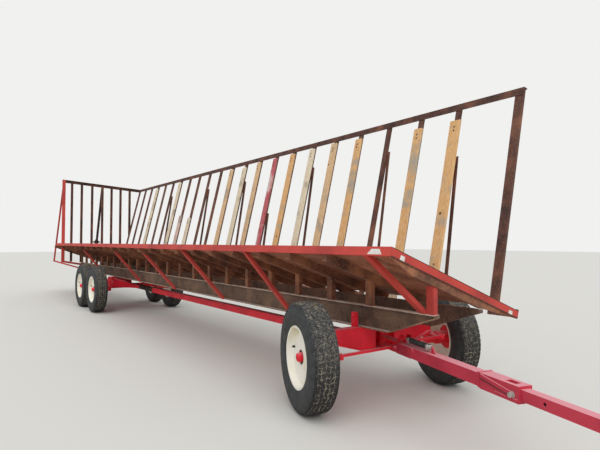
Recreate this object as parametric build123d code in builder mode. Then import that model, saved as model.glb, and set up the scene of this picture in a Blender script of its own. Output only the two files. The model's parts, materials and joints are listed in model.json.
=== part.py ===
from build123d import *
import os
from math import sin, cos, tan, radians

# A bale wagon: a long rack on a six-wheel running gear with a steered front axle.
# The rack's floor is tilted sideways, high at the right (near) edge and low at the left,
# where a tall slatted wall leans outwards. A second slatted wall closes the rear.
# Working frame, in millimetres: X forward with 0 at the front axle, Y to the left with 0 on
# the running gear's centreline, Z up with 0 on the ground. The last section moves the whole
# wagon so that the origin is on the ground at the middle of its length and width.

# Wheels
tyre_radius = 526.0
tyre_width = 280.0
tread_width = 214.0
bead_radius = 286.0
rim_radius = 298.0
rim_width = 236.0
rim_wall = 8.0
disc_wall = 12.0
disc_back = 54.0
disc_hole_radius = 70.0
valve_hole_radius = 14.0
valve_hole_pitch = 198.0
valve_hole_angle = 71.0
hub_flange_radius = 130.0
hub_flange = 16.0
hub_radius = 72.0
hub_inner = -112.0
hub_nose_radius = 47.0
hub_cap_radius = 38.0
hub_nose = 34.0
front_track = 1876.0
rear_track = 1796.0
rear_axle_x = -8925.0
tandem_spacing = 1222.0
running_gap = 0.3

# Front axle and steering
steer_angle = -16.4
kingpin_offset = 218.0
kingpin_radius = 20.0
kingpin_boss_radius = 42.0
axle_width = 100.0
axle_wall = 10.0
axle_end_bottom = 622.0
axle_mid_bottom = 522.0
axle_belly_half = 330.0
pocket_half = 135.0
flange_width = 190.0
stake_width = 60.0
stake_thick = 40.0
stake_height = 150.0
steer_arm = 290.0
arm_thick = 22.0
rod_width = 26.0
rod_end_radius = 30.0
rod_pin_radius = 11.0
spindle_radius = 38.0
spindle_end = 50.0
rod_step_z = 26.0
rod_thick = 24.0

# Tongue
tongue_z = 590.0
tongue_tube = 100.0
tongue_wall = 8.0
head_hub_radius = 34.0
plate_thick = 15.0
plate_width = 110.0
head_pin_radius = 24.0
tongue_pin_s = 415.0
tongue_pin_radius = 18.0
tongue_tube_start = 490.0
tongue_collar_start = 1600.0
tongue_collar_end = 1990.0
collar_wall = 9.0
inner_tube = 78.0
inner_tube_start = 1150.0
inner_tube_end = 2700.0
cheek_thick = 12.0
cheek_radius = 50.0
cheek_length = 235.0
eye_radius = 62.0
eye_bore = 15.0
eye_thick = 30.0
eye_s = 2860.0
slider_hole_radius = 13.0
slider_hole_s = 2190.0
spring_radius = 26.0
spring_start = 515.0
spring_end = 905.0

# Reach between the axles
reach_tube = 100.0
reach_wall = 6.0
reach_z = 562.0
reach_joint_x = -7000.0
reach_pole_tuck = 500.0

# Rear tandem
rear_bolster_width = 110.0
beam_height = 110.0
walking_beam_width = 70.0
walking_beam_y = 620.0
cross_tube_radius = 55.0
saddle_y = 440.0
saddle_thick = 16.0
saddle_top = 260.0
saddle_foot = 620.0
hound_start_x = -7960.0
hound_bottom = 532.0
hound_top = 740.0
hound_tip_top = 602.0

# Sills
sill_top = 990.0
sill_bottom = 760.0
sill_web_y = 285.0
sill_flange = 57.0
sill_web = 7.0
sill_flange_thick = 10.0
sill_front_x = 983.0
sill_rear_x = -12965.0
sill_taper = 560.0
sill_nose = 32.0

# Tilted deck
deck_tilt = 20.0
deck_near_y = -881.0
deck_far_y = 930.0
deck_front_x = 985.0
deck_rear_x = -13840.0
beam_depth = 80.0
beam_flange = 45.0
beam_wall = 6.0
beam_pitch = 610.0
first_beam_x = 155.0
edge_rail_above = 64.0
edge_rail_below = 16.0
edge_rail_leg = 60.0
edge_rail_wall = 8.0
floor_thick = 5.0
floor_far_y = 560.0
stub_length = 80.0
stub_depth = 52.0
front_beam_tip = 16.0
front_taper_y = 330.0
front_taper_u = 300.0

# Wheel bays in the low edge of the deck, where the far wheels stand higher than the deck
front_bay_half = 640.0
rear_bay_half = 1240.0
bay_beam_y = 560.0
bay_rail_z = 1092.0

# Slatted side wall
wall_lean = 13.6
wall_top_z = 3382.0
wall_front_x = 686.0
bar_pitch = 609.0
first_bar_gap = 823.0
bar_count = 22
bar_width = 70.0
bar_depth = 40.0
bar_wall = 5.0
front_post_width = 100.0
top_rail_height = 90.0
top_rail_leg = 62.0
top_rail_wall = 8.0
far_rail_height = 92.0
front_rail_foot = -5.0
front_rail_top = 80.0
plank_thick = 34.0
strut_width = 50.0
strut_lean = 9.0
strut_top_n = 60.0
strut_foot_depth = 65.0

# Rear wall
rear_wall_x = -12930.0
rear_post_width = 66.0
rear_post_depth = 44.0
rear_post_ys = [-581, -294, 17, 332, 617, 904, 1201]
corner_post_width = 90.0
corner_foot_z = 985.0
rear_beam_start_y = -230.0
rear_beam_height = 60.0
rear_beam_top_z = 1046.0
rear_beam_drop = 100.0
brace_section = 44.0
rear_rail_rise = 175.0
brace_drop = 86.0
middle_brace_section = 60.0
corner_brace_slope = 0.6
corner_brace_foot_z = 985.0
middle_brace_foot_x = -13805.0
foot_bar_end = (-330.0, 800.0)

# Outriggers from the near sill up to the edge rail: (foot x, top x), and the front one's
outrigger_width = 64.0
outrigger_thick = 40.0
outriggers = [(-1193, -1447), (-2991, -3408), (-4920, -5440), (-6890, -7350), (-9870, -10340)]
outrigger_top_u = 50.0
front_outrigger = (850, 673)
front_stub_x = 925.0

# Planks on the inside of the bars: (bar number from the front, width, foot above deck, top gap)
planks = [(0, 150, 30, 20), (1, 132, 30, 60), (3, 128, 560, 60), (4, 132, 30, 30), (5, 132, 30, 30),
          (6, 126, 30, 30), (7, 110, 30, 30), (8, 124, 30, 30), (9, 130, 30, 60), (10, 124, 30, 30),
          (13, 130, 30, 1100), (14, 130, 30, 1000), (15, 128, 30, 40), (18, 124, 30, 60)]

# Struts behind the bars: (bar number from the front, height of the top above the ground)
struts = [(0, 2680), (2, 2925), (5, 2925), (7, 2170), (9, 2920), (12, 2915), (16, 2925)]

slope_sin = sin(radians(deck_tilt))
slope_cos = cos(radians(deck_tilt))
slope_tan = tan(radians(deck_tilt))
lean_sin = sin(radians(wall_lean))
lean_cos = cos(radians(wall_lean))

kingpin_spread = front_track - 2 * kingpin_offset

# The beams' undersides just clear the outer tip of the far sill's top flange.
sill_tip_y = sill_web_y + sill_flange
seat_gap = 0.3
beam_rise = beam_depth / slope_cos


def beam_bottom_z(y):
    return sill_top + seat_gap + slope_tan * (sill_tip_y - y)


def beam_top_z(y):
    return beam_bottom_z(y) + beam_rise


near_edge = (deck_near_y, beam_top_z(deck_near_y))
deck_length_u = (deck_far_y - deck_near_y) / slope_cos
wall_foot = (deck_far_y, beam_top_z(deck_far_y))


# A point of the deck's cross-section: u along the slope from the near edge, w square to it
def on_deck(u, w):
    return (near_edge[0] + u * slope_cos + w * slope_sin,
            near_edge[1] - u * slope_sin + w * slope_cos)


def deck_u(y):
    return (y - near_edge[0]) / slope_cos


# A point of the side wall's cross-section: v up the wall from the deck's far edge, n outwards
def on_wall(v, n):
    return (wall_foot[0] + v * lean_sin + n * lean_cos,
            wall_foot[1] + v * lean_cos - n * lean_sin)


def wall_v(z):
    return (z - wall_foot[1]) / lean_cos


wall_height = wall_v(wall_top_z)
corner_post_y = on_deck(0, edge_rail_above)[0] + seat_gap + corner_post_width / 2
bay_rail_v = wall_v(bay_rail_z)
rail_face = edge_rail_wall
wall_top_y = on_wall(wall_height, 0)[0]
near_end_y = corner_post_y - corner_post_width / 2
rear_rail_slope = rear_rail_rise / (wall_top_y - near_end_y)


# The rear wall's top rail rises from the side wall's corner to the near end
def rear_rail_top(y):
    return wall_top_z + rear_rail_slope * (wall_top_y - y)


post_top = Plane(origin=(0, near_end_y, rear_rail_top(near_end_y) - top_rail_wall - seat_gap),
                 z_dir=(0, rear_rail_slope, 1))


# Section plane square to the side wall: local X along the wagon, local Y outwards
def wall_plane(x, v):
    y, z = on_wall(v, 0)
    return Plane(origin=(x, y, z), x_dir=(1, 0, 0), z_dir=(0, lean_sin, lean_cos))


# Cross-section plane of the wagon at one x: local X is Y, local Y is Z, and it faces forward
def cross_plane(x):
    return Plane.YZ.offset(x)


def bar_x(number):
    return wall_front_x - first_bar_gap - number * bar_pitch


# A strut stands beside its bar, on the side towards the front
def strut_x(number):
    return bar_x(number) + bar_width / 2 + seat_gap + strut_width / 2


beam_count = int((first_beam_x - deck_rear_x) / beam_pitch) + 1
beam_xs = [first_beam_x - beam_pitch * i for i in range(beam_count)]


def over_bay(number):
    return number == 0 or 12 < number < 17


def in_bay(x):
    front = abs(x) < front_bay_half + beam_flange
    rear = abs(x - rear_axle_x) < rear_bay_half
    return front or rear


# Channel section drawn in the current sketch, open towards +local X
def channel_section(flange, depth, wall, centre=(0, 0)):
    with Locations(centre):
        Rectangle(flange, depth, align=(Align.MIN, Align.CENTER))
    with Locations((centre[0] + wall, centre[1])):
        Rectangle(flange, depth - 2 * wall, align=(Align.MIN, Align.CENTER), mode=Mode.SUBTRACT)


def closed_outline(points):
    Polygon(*points, align=None)


# Sills: two long channels, flanges outwards, with the bottom swept up at the front
with BuildPart() as sills:
    for side in (-1, 1):
        with BuildSketch(Plane.XZ.offset(-side * sill_web_y)):
            closed_outline([(sill_rear_x, sill_top), (sill_front_x, sill_top),
                            (sill_front_x, sill_top - sill_nose),
                            (sill_front_x - sill_taper, sill_bottom), (sill_rear_x, sill_bottom)])
        extrude(amount=-side * sill_flange)
        with BuildSketch(Plane.XZ.offset(-side * (sill_web_y + sill_web))):
            closed_outline([(sill_rear_x - 1, sill_top - sill_flange_thick),
                            (sill_front_x - sill_flange_thick, sill_top - sill_flange_thick),
                            (sill_front_x - sill_flange_thick, sill_top - sill_nose + 4),
                            (sill_front_x - sill_taper - 4, sill_bottom + sill_flange_thick),
                            (sill_rear_x - 1, sill_bottom + sill_flange_thick)])
        extrude(amount=-side * sill_flange, mode=Mode.SUBTRACT)

# Deck beams: channels across the wagon, down the slope, cut short over the far wheels
with BuildPart() as deck_beams:
    full = deck_length_u
    short = deck_u(bay_beam_y)
    beam_table = [(deck_front_x - edge_rail_wall, -1, 0, full)]
    beam_table += [(x + beam_flange / 2, -1, 0, short if in_bay(x) else full) for x in beam_xs]
    beam_table += [(rear_wall_x + rear_post_depth / 2, -1, deck_u(rear_beam_start_y), full),
                   (deck_rear_x, 1, 0, full)]
    for web_x, way, start_u, end_u in beam_table:
        plane = Plane(origin=(web_x, *on_deck(start_u, 0)), x_dir=(way, 0, 0),
                      z_dir=(0, slope_cos, -slope_sin))
        down = beam_depth / 2 if way > 0 else -beam_depth / 2
        with BuildSketch(plane):
            channel_section(beam_flange, beam_depth, beam_wall, (0, down))
        extrude(amount=end_u - start_u)
    with BuildSketch(cross_plane(deck_front_x - edge_rail_wall)):
        for inner_u, tip_u in ((deck_u(front_taper_y), full + 1), (front_taper_u, -1)):
            closed_outline([on_deck(inner_u, -beam_depth), on_deck(tip_u, -front_beam_tip),
                            on_deck(tip_u, -2 * beam_depth), on_deck(inner_u, -2 * beam_depth)])
    extrude(amount=-beam_flange - 1, mode=Mode.SUBTRACT)

# Floor: a sheet on the beams up to the rear wall and a strip behind it, both ending short of
# the side wall
with BuildPart() as deck_floor:
    wall_face = rear_post_depth / 2 + seat_gap
    sheet_front_x = deck_front_x - edge_rail_wall - edge_rail_leg - 1
    for start_x, end_x in ((deck_rear_x, rear_wall_x - wall_face), (rear_wall_x + wall_face, sheet_front_x)):
        with BuildSketch(cross_plane(start_x)):
            closed_outline([on_deck(edge_rail_leg + 1, 0), on_deck(deck_u(floor_far_y), 0),
                            on_deck(deck_u(floor_far_y), floor_thick),
                            on_deck(edge_rail_leg + 1, floor_thick)])
        extrude(amount=end_x - start_x)

# Edge rail: one angle along the near edge and another down the front edge, in two pieces
with BuildPart() as edge_rail:
    with BuildSketch(cross_plane(deck_rear_x)):
        closed_outline([on_deck(0, -edge_rail_below), on_deck(0, 0), on_deck(edge_rail_leg, 0),
                        on_deck(edge_rail_leg, edge_rail_wall),
                        on_deck(0, edge_rail_wall), on_deck(0, edge_rail_above),
                        on_deck(-edge_rail_wall, edge_rail_above),
                        on_deck(-edge_rail_wall, -edge_rail_below)])
    extrude(amount=deck_front_x - deck_rear_x)
    with BuildSketch(cross_plane(deck_front_x)):
        closed_outline([on_deck(0, -1), on_deck(edge_rail_leg + 1, -1),
                        on_deck(edge_rail_leg + 1, edge_rail_wall + 1), on_deck(0, edge_rail_wall + 1)])
    extrude(amount=-edge_rail_wall - edge_rail_leg - seat_gap, mode=Mode.SUBTRACT)
    front_plane = Plane(origin=(deck_front_x, *on_deck(seat_gap, 0)), x_dir=(-1, 0, 0),
                        z_dir=(0, slope_cos, -slope_sin))
    with BuildSketch(front_plane):
        closed_outline([(0, -edge_rail_below), (edge_rail_wall, -edge_rail_below),
                        (edge_rail_wall, 0), (edge_rail_wall + edge_rail_leg, 0),
                        (edge_rail_wall + edge_rail_leg, edge_rail_wall),
                        (edge_rail_wall, edge_rail_wall), (edge_rail_wall, edge_rail_above),
                        (0, edge_rail_above)])
    extrude(amount=deck_length_u - edge_rail_wall - seat_gap)

# Far rail along the low edge, broken at the wheel bays, with a raised rail over each bay
with BuildPart() as far_rail:
    front_bay = (strut_x(0) + strut_width / 2, bar_x(1) + bar_width)
    rear_bay = (bar_x(12), bar_x(17))
    front_run_end = wall_front_x - front_post_width / 2
    low_runs = [(deck_front_x - edge_rail_wall, front_run_end, front_rail_foot, front_rail_top),
                (bar_x(1) + bar_width / 2, rear_bay[0], -far_rail_height, 10),
                (rear_bay[1] + bar_width / 2, deck_rear_x, -far_rail_height, 10)]
    for start_x, end_x, bottom, top in low_runs:
        with BuildSketch(cross_plane(end_x)):
            closed_outline([on_wall(bottom, seat_gap), on_wall(top, seat_gap),
                            on_wall(top, rail_face), on_wall(bottom, rail_face)])
        extrude(amount=start_x - end_x)
    for start_x, end_x in (front_bay, rear_bay):
        with BuildSketch(cross_plane(end_x)):
            closed_outline([on_wall(bay_rail_v, seat_gap), on_wall(bay_rail_v + far_rail_height, seat_gap),
                            on_wall(bay_rail_v + far_rail_height, rail_face),
                            on_wall(bay_rail_v, rail_face)])
        extrude(amount=start_x - end_x)

# Side wall: steel bars outside the rails, in channel section, and the wide front post
with BuildPart() as wall_bars:
    bar_table = [(wall_front_x, front_post_width, front_rail_foot)]
    for number in range(bar_count):
        x = bar_x(number)
        bar_table.append((x, bar_width, bay_rail_v if over_bay(number) else -far_rail_height))
    for x, width, foot in bar_table:
        with BuildSketch(wall_plane(x, foot)):
            with Locations((0, rail_face + bar_depth / 2)):
                Rectangle(width, bar_depth)
            with Locations((0, rail_face + bar_depth / 2 + bar_wall)):
                Rectangle(width - 2 * bar_wall, bar_depth, mode=Mode.SUBTRACT)
        extrude(amount=wall_height - top_rail_wall - foot)

# Top rails: an angle along the side wall and a sloping one along the rear wall, in two pieces
wall_inside = Plane(origin=(0, *on_wall(0, rail_face)), z_dir=(0, lean_cos, -lean_sin))
rail_inside = Plane(origin=(0, *on_wall(0, -seat_gap)), z_dir=(0, lean_cos, -lean_sin))
with BuildPart() as top_rails:
    rear_end = rear_wall_x - rear_post_depth / 2
    near_top = rear_rail_top(near_end_y)
    with BuildSketch(Plane.XZ.offset(-near_end_y)):
        closed_outline([(rear_end - top_rail_wall, near_top),
                        (rear_wall_x + rear_post_depth / 2, near_top),
                        (rear_wall_x + rear_post_depth / 2, near_top - top_rail_wall),
                        (rear_end, near_top - top_rail_wall),
                        (rear_end, near_top - top_rail_height),
                        (rear_end - top_rail_wall, near_top - top_rail_height)])
    rail_way = Vector(0, 1, -rear_rail_slope)
    extrude(amount=(wall_top_y + 20 - near_end_y) * rail_way.length, dir=rail_way.normalized())
    split(bisect_by=rail_inside, keep=Keep.BOTTOM)
    with BuildSketch(cross_plane(rear_end)):
        closed_outline([on_wall(wall_height - top_rail_height, 0), on_wall(wall_height, 0),
                        on_wall(wall_height, top_rail_leg),
                        on_wall(wall_height - top_rail_wall, top_rail_leg),
                        on_wall(wall_height - top_rail_wall, rail_face),
                        on_wall(wall_height - top_rail_height, rail_face)])
    extrude(amount=wall_front_x + front_post_width / 2 + 10 - rear_end)

# Wooden planks on the inside of some bars
with BuildPart() as wall_planks:
    for number, width, gap_below, top_gap in planks:
        foot = gap_below + (bay_rail_v + far_rail_height if over_bay(number) else 0)
        length = wall_height - top_rail_height - top_gap - foot
        with BuildSketch(wall_plane(bar_x(number), foot)):
            with Locations((0, rail_face - plank_thick / 2)):
                Rectangle(width, plank_thick)
        extrude(amount=length)

# Struts: steeper angle posts beside some bars, each standing on a short foot that reaches out
# from the far rail
wall_struts = BuildPart()
strut_feet = BuildPart()
for number, top_z in struts:
    foot_z = bay_rail_z + strut_foot_depth + 5 if over_bay(number) else wall_foot[1]
    top_y = on_wall(wall_v(top_z), strut_top_n)[0]
    foot_y = top_y - tan(radians(strut_lean)) * (top_z - foot_z)
    tilt = Vector(0, sin(radians(strut_lean)), cos(radians(strut_lean)))
    start = Vector(strut_x(number), foot_y, foot_z) + Vector(0, 0, tilt.Y * strut_width / 2 + seat_gap)
    with wall_struts:
        with BuildSketch(Plane(origin=start, x_dir=(1, 0, 0), z_dir=tilt)):
            Rectangle(strut_width, strut_width)
            with Locations((bar_wall, bar_wall)):
                Rectangle(strut_width, strut_width, mode=Mode.SUBTRACT)
        extrude(amount=(top_z - foot_z) / tilt.Z)
    with strut_feet:
        with BuildSketch(cross_plane(strut_x(number) - strut_width / 2)):
            rail_points = [on_wall(wall_v(z), rail_face + 5) for z in (foot_z, foot_z - strut_foot_depth)]
            closed_outline([(rail_points[0][0], foot_z), (foot_y + strut_width / 2, foot_z),
                            (foot_y + strut_width / 2, foot_z - strut_foot_depth),
                            (rail_points[1][0], foot_z - strut_foot_depth)])
        extrude(amount=strut_width)

sill_web_face = -sill_web_y - sill_web


# Top of the rear wall's lower beam, which falls from the corner post to the near sill
def rear_beam_top(y):
    along = (y - corner_post_y) / (sill_web_face - corner_post_y)
    return rear_beam_top_z - rear_beam_drop * along


# A straight square bar from one point to another, its width lying along the wagon
def straight_bar(start, end, width, thick, over=0.0):
    way = (Vector(*end) - Vector(*start)).normalized()
    side = Vector(1, 0, 0) - way * way.X
    origin = Vector(*start) - way * over
    length = (Vector(*end) - Vector(*start)).length + 2 * over
    with BuildPart() as bar:
        with BuildSketch(Plane(origin=origin, x_dir=side.normalized(), z_dir=way)):
            Rectangle(width, thick)
        extrude(amount=length)
    return bar


# Rear wall: upright bars. The first two reach down past the deck and the last ends on the
# side wall's corner bar.
with BuildPart() as rear_bars:
    for number, y in enumerate(rear_post_ys):
        near_face = y - rear_post_width / 2
        if number == 0:
            foot_z = rear_beam_top(near_face)
        elif number == 1:
            foot_z = sill_top
        elif y < deck_far_y:
            foot_z = beam_top_z(near_face)
        else:
            foot_z = wall_foot[1] + (near_face - wall_foot[0]) / tan(radians(wall_lean))
        with BuildSketch(Plane.XY.offset(foot_z)):
            with Locations((rear_wall_x, y)):
                Rectangle(rear_post_depth, rear_post_width)
            with Locations((rear_wall_x + bar_wall, y)):
                Rectangle(rear_post_depth, rear_post_width - 2 * bar_wall, mode=Mode.SUBTRACT)
        extrude(amount=near_top - foot_z)
    split(bisect_by=post_top, keep=Keep.BOTTOM)
    split(bisect_by=wall_inside, keep=Keep.BOTTOM)

# The near rail's leg is cut where the corner post stands in it
with edge_rail:
    with BuildSketch(Plane.XY.offset(corner_foot_z)):
        with Locations((rear_wall_x, corner_post_y)):
            Rectangle(rear_post_depth + 2 * seat_gap, corner_post_width + 2 * seat_gap)
    extrude(amount=wall_top_z / 2, mode=Mode.SUBTRACT)

# Red post at the rear near corner, and the lower beam from it into the near sill
with BuildPart() as corner_post:
    with BuildSketch(Plane.XY.offset(corner_foot_z)):
        with Locations((rear_wall_x, corner_post_y)):
            Rectangle(rear_post_depth, corner_post_width)
    extrude(amount=near_top - corner_foot_z)
    split(bisect_by=post_top, keep=Keep.BOTTOM)
    beam_start_y = corner_post_y + corner_post_width / 2 + seat_gap
    with BuildSketch(cross_plane(rear_wall_x - rear_post_depth / 2)):
        closed_outline([(beam_start_y, rear_beam_top(beam_start_y)),
                        (sill_web_face, rear_beam_top(sill_web_face)),
                        (sill_web_face, rear_beam_top(sill_web_face) - rear_beam_height),
                        (beam_start_y, rear_beam_top(beam_start_y) - rear_beam_height)])
    extrude(amount=rear_post_depth)

# Back braces: the corner one passes behind the deck to a bar from the sill's end, and the
# middle one stands on the floor above the last beam
rail_back_x = rear_wall_x - rear_post_depth / 2 - top_rail_wall
corner_brace_top_z = rear_rail_top(corner_post_y) - brace_drop
corner_brace_foot_x = rail_back_x - corner_brace_slope * (corner_brace_top_z - corner_brace_foot_z)
brace_side_y = corner_post_y + brace_section / 2 + seat_gap
behind_rail = Plane(origin=(rail_back_x, 0, 0), z_dir=(-1, 0, 0))
with BuildPart() as corner_brace:
    add(straight_bar((rail_back_x, corner_post_y, corner_brace_top_z),
                     (corner_brace_foot_x, corner_post_y, corner_brace_foot_z),
                     brace_section, brace_section, over=40).part)
    split(bisect_by=behind_rail, keep=Keep.TOP)
    split(bisect_by=Plane.XY.offset(corner_brace_foot_z - brace_section / 2), keep=Keep.TOP)
    foot_bar = straight_bar((corner_brace_foot_x, corner_post_y, corner_brace_foot_z),
                            (sill_rear_x, *foot_bar_end), brace_section, brace_section, over=30)
    with foot_bar:
        split(bisect_by=Plane(origin=(sill_rear_x, 0, 0), z_dir=(-1, 0, 0)), keep=Keep.TOP)
        split(bisect_by=Plane(origin=(0, brace_side_y, 0), z_dir=(0, 1, 0)), keep=Keep.TOP)
    add(foot_bar.part)

floor_top = Plane(origin=(0, *on_deck(0, floor_thick)), z_dir=(0, slope_sin, slope_cos))
middle_brace_y = rear_post_ys[3]
with BuildPart() as middle_brace:
    add(straight_bar((rail_back_x, middle_brace_y, rear_rail_top(middle_brace_y) - brace_drop),
                     (middle_brace_foot_x, middle_brace_y, beam_top_z(middle_brace_y)),
                     middle_brace_section, middle_brace_section, over=60).part)
    split(bisect_by=behind_rail, keep=Keep.TOP)
    split(bisect_by=floor_top, keep=Keep.TOP)

# Stubs on the near sill under each beam
with BuildPart() as beam_stubs:
    stub_near = -sill_tip_y + 2
    for x in beam_xs:
        if x - stub_length / 2 > sill_rear_x:
            with BuildSketch(cross_plane(x - stub_length / 2)):
                closed_outline([(stub_near, sill_top), (stub_near + stub_depth, sill_top),
                                (stub_near + stub_depth, beam_bottom_z(stub_near + stub_depth)),
                                (stub_near, beam_bottom_z(stub_near))])
            extrude(amount=stub_length)

# Outriggers from the near sill to the edge rail, with the front stub that stands beside one
outrigger_top = on_deck(outrigger_top_u, 0)
leg_under = Plane(origin=(0, *on_deck(0, 0)), z_dir=(0, slope_sin, slope_cos))
sill_side = Plane(origin=(0, -sill_tip_y, 0), z_dir=(0, -1, 0))
sill_under = Plane(origin=(0, 0, sill_bottom), z_dir=(0, 0, 1))
sill_upper = Plane(origin=(0, 0, sill_top), z_dir=(0, 0, 1))


def outrigger(foot, top_x, cut_planes):
    bar = straight_bar(foot, (top_x, *outrigger_top), outrigger_width, outrigger_thick, over=80)
    with bar:
        split(bisect_by=leg_under, keep=Keep.BOTTOM)
        for plane in cut_planes:
            split(bisect_by=plane, keep=Keep.TOP)
    return bar.part


with BuildPart() as outrigger_braces:
    for foot_x, top_x in outriggers:
        foot = (foot_x, -sill_tip_y - outrigger_thick / 3, sill_bottom + 24)
        add(outrigger(foot, top_x, (sill_side, sill_under)))
    front_foot = (front_outrigger[0], -sill_tip_y + outrigger_thick / 2, sill_top)
    add(outrigger(front_foot, front_outrigger[1], (sill_upper,)))
    with BuildSketch(cross_plane(front_stub_x - stub_length / 2)):
        closed_outline([(stub_near, sill_top), (stub_near + stub_depth, sill_top),
                        (stub_near + stub_depth, beam_bottom_z(stub_near + stub_depth)),
                        (stub_near, beam_bottom_z(stub_near))])
    extrude(amount=stub_length)
    add(deck_beams.part, mode=Mode.SUBTRACT)

# Front axle: a box beam deeper in the middle, with a pocket for the steering head
pocket_floor = axle_mid_bottom + axle_wall
pocket_roof = sill_bottom - axle_wall
axle_end_y = kingpin_spread / 2 - kingpin_boss_radius + 8
with BuildPart() as front_axle:
    with BuildSketch(cross_plane(-axle_width / 2)):
        closed_outline([(-axle_end_y, sill_bottom), (axle_end_y, sill_bottom), (axle_end_y, axle_end_bottom),
                        (axle_belly_half, axle_mid_bottom), (-axle_belly_half, axle_mid_bottom),
                        (-axle_end_y, axle_end_bottom)])
    extrude(amount=axle_width)
    with BuildSketch(cross_plane(axle_width / 2)):
        closed_outline([(-axle_end_y, axle_end_bottom + axle_wall), (-axle_belly_half, pocket_floor),
                        (axle_belly_half, pocket_floor), (axle_end_y, axle_end_bottom + axle_wall),
                        (axle_end_y, axle_end_bottom),
                        (axle_belly_half, axle_mid_bottom), (-axle_belly_half, axle_mid_bottom),
                        (-axle_end_y, axle_end_bottom)])
        with Locations((0, (sill_bottom + pocket_roof) / 2)):
            Rectangle(2 * axle_belly_half, axle_wall)
    extrude(amount=flange_width / 2 - axle_width / 2)
    with BuildSketch(cross_plane(-axle_width / 2 + axle_wall)):
        with Locations((0, (pocket_floor + pocket_roof) / 2)):
            Rectangle(2 * pocket_half, pocket_roof - pocket_floor)
    extrude(amount=axle_width, mode=Mode.SUBTRACT)
    for side in (-1, 1):
        with BuildSketch(Plane.XY.offset(axle_end_bottom - 22)):
            with Locations((0, side * kingpin_spread / 2)):
                Circle(kingpin_boss_radius)
        extrude(amount=sill_bottom + 12 - axle_end_bottom + 22)
        with BuildSketch(Plane.XY.offset(sill_bottom)):
            with Locations((-20, side * (sill_tip_y + seat_gap + stake_thick / 2))):
                Rectangle(stake_width, stake_thick)
        extrude(amount=stake_height)
    with BuildSketch(Plane.XY.offset(axle_mid_bottom)):
        Circle(head_pin_radius + running_gap)
        with Locations((0, -kingpin_spread / 2), (0, kingpin_spread / 2)):
            Circle(kingpin_radius + running_gap)
    extrude(amount=kingpin_spread, mode=Mode.SUBTRACT)

# Axes of the steered parts at rest: forward along the tongue and square to it
ahead = Vector(cos(radians(steer_angle)), sin(radians(steer_angle)), 0)
left = Vector(-ahead.Y, ahead.X, 0)


def flat_plane(centre, z):
    return Plane(origin=(centre.X, centre.Y, z), x_dir=ahead, z_dir=(0, 0, 1))


def tongue_section(s):
    return Plane(origin=ahead * s + Vector(0, 0, tongue_z), x_dir=left, z_dir=ahead)


def tongue_side(offset):
    return Plane(origin=left * offset + Vector(0, 0, tongue_z), x_dir=ahead, z_dir=-left)


pivot = Vector(0, 0, 0)
head_top = tongue_z + tongue_tube / 2
head_bottom = tongue_z - tongue_tube / 2
lug_start = tongue_pin_s - 52
lug_width = tongue_tube - 2 * running_gap

# Steering head: a tall pivot tube in the axle's pocket, two plates that hold the rods' pin,
# and a lug for the tongue's cross pin with two ears for the lift spring
with BuildPart() as steer_head:
    with BuildSketch(flat_plane(pivot, pocket_floor + running_gap)):
        Circle(head_hub_radius)
    extrude(amount=pocket_roof - pocket_floor - 2 * running_gap)
    with BuildSketch(flat_plane(pivot, axle_mid_bottom - 16)):
        Circle(head_pin_radius)
    extrude(amount=sill_bottom - axle_mid_bottom + 32)
    with BuildSketch(flat_plane(pivot, axle_mid_bottom - running_gap)):
        RegularPolygon(36, 6)
    extrude(amount=-16)
    for z in (head_bottom, head_top - plate_thick):
        with BuildSketch(flat_plane(pivot, z)):
            with Locations((tongue_pin_s / 2, 0)):
                Rectangle(tongue_pin_s - 20, plate_width)
            with Locations((tongue_pin_s, 0)):
                Rectangle(110, plate_width, mode=Mode.SUBTRACT)
        extrude(amount=plate_thick)
    with BuildSketch(tongue_side(-lug_width / 2)):
        with Locations((tongue_pin_s, 0)):
            Circle(44)
        with Locations(((lug_start + tongue_pin_s) / 2, 0)):
            Rectangle(tongue_pin_s - lug_start, 88)
        with Locations((lug_start, 0)):
            Rectangle(16, tongue_tube)
    extrude(amount=-lug_width)
    with BuildSketch(tongue_side(-lug_width / 2)):
        with Locations((tongue_pin_s, 0)):
            Circle(tongue_pin_radius + running_gap)
    extrude(amount=-lug_width, mode=Mode.SUBTRACT)
    with BuildSketch(flat_plane(ahead * steer_arm, head_bottom)):
        Circle(rod_pin_radius)
    extrude(amount=tongue_tube)
    for side in (-1, 1):
        with BuildSketch(tongue_side(side * 38 + 4)):
            closed_outline([(lug_start, 40), (lug_start + 36, 40), (lug_start + 76, 86),
                            (spring_start + 12, 110), (spring_start + 12, 140), (spring_start - 60, 140)])
        extrude(amount=8)

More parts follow.
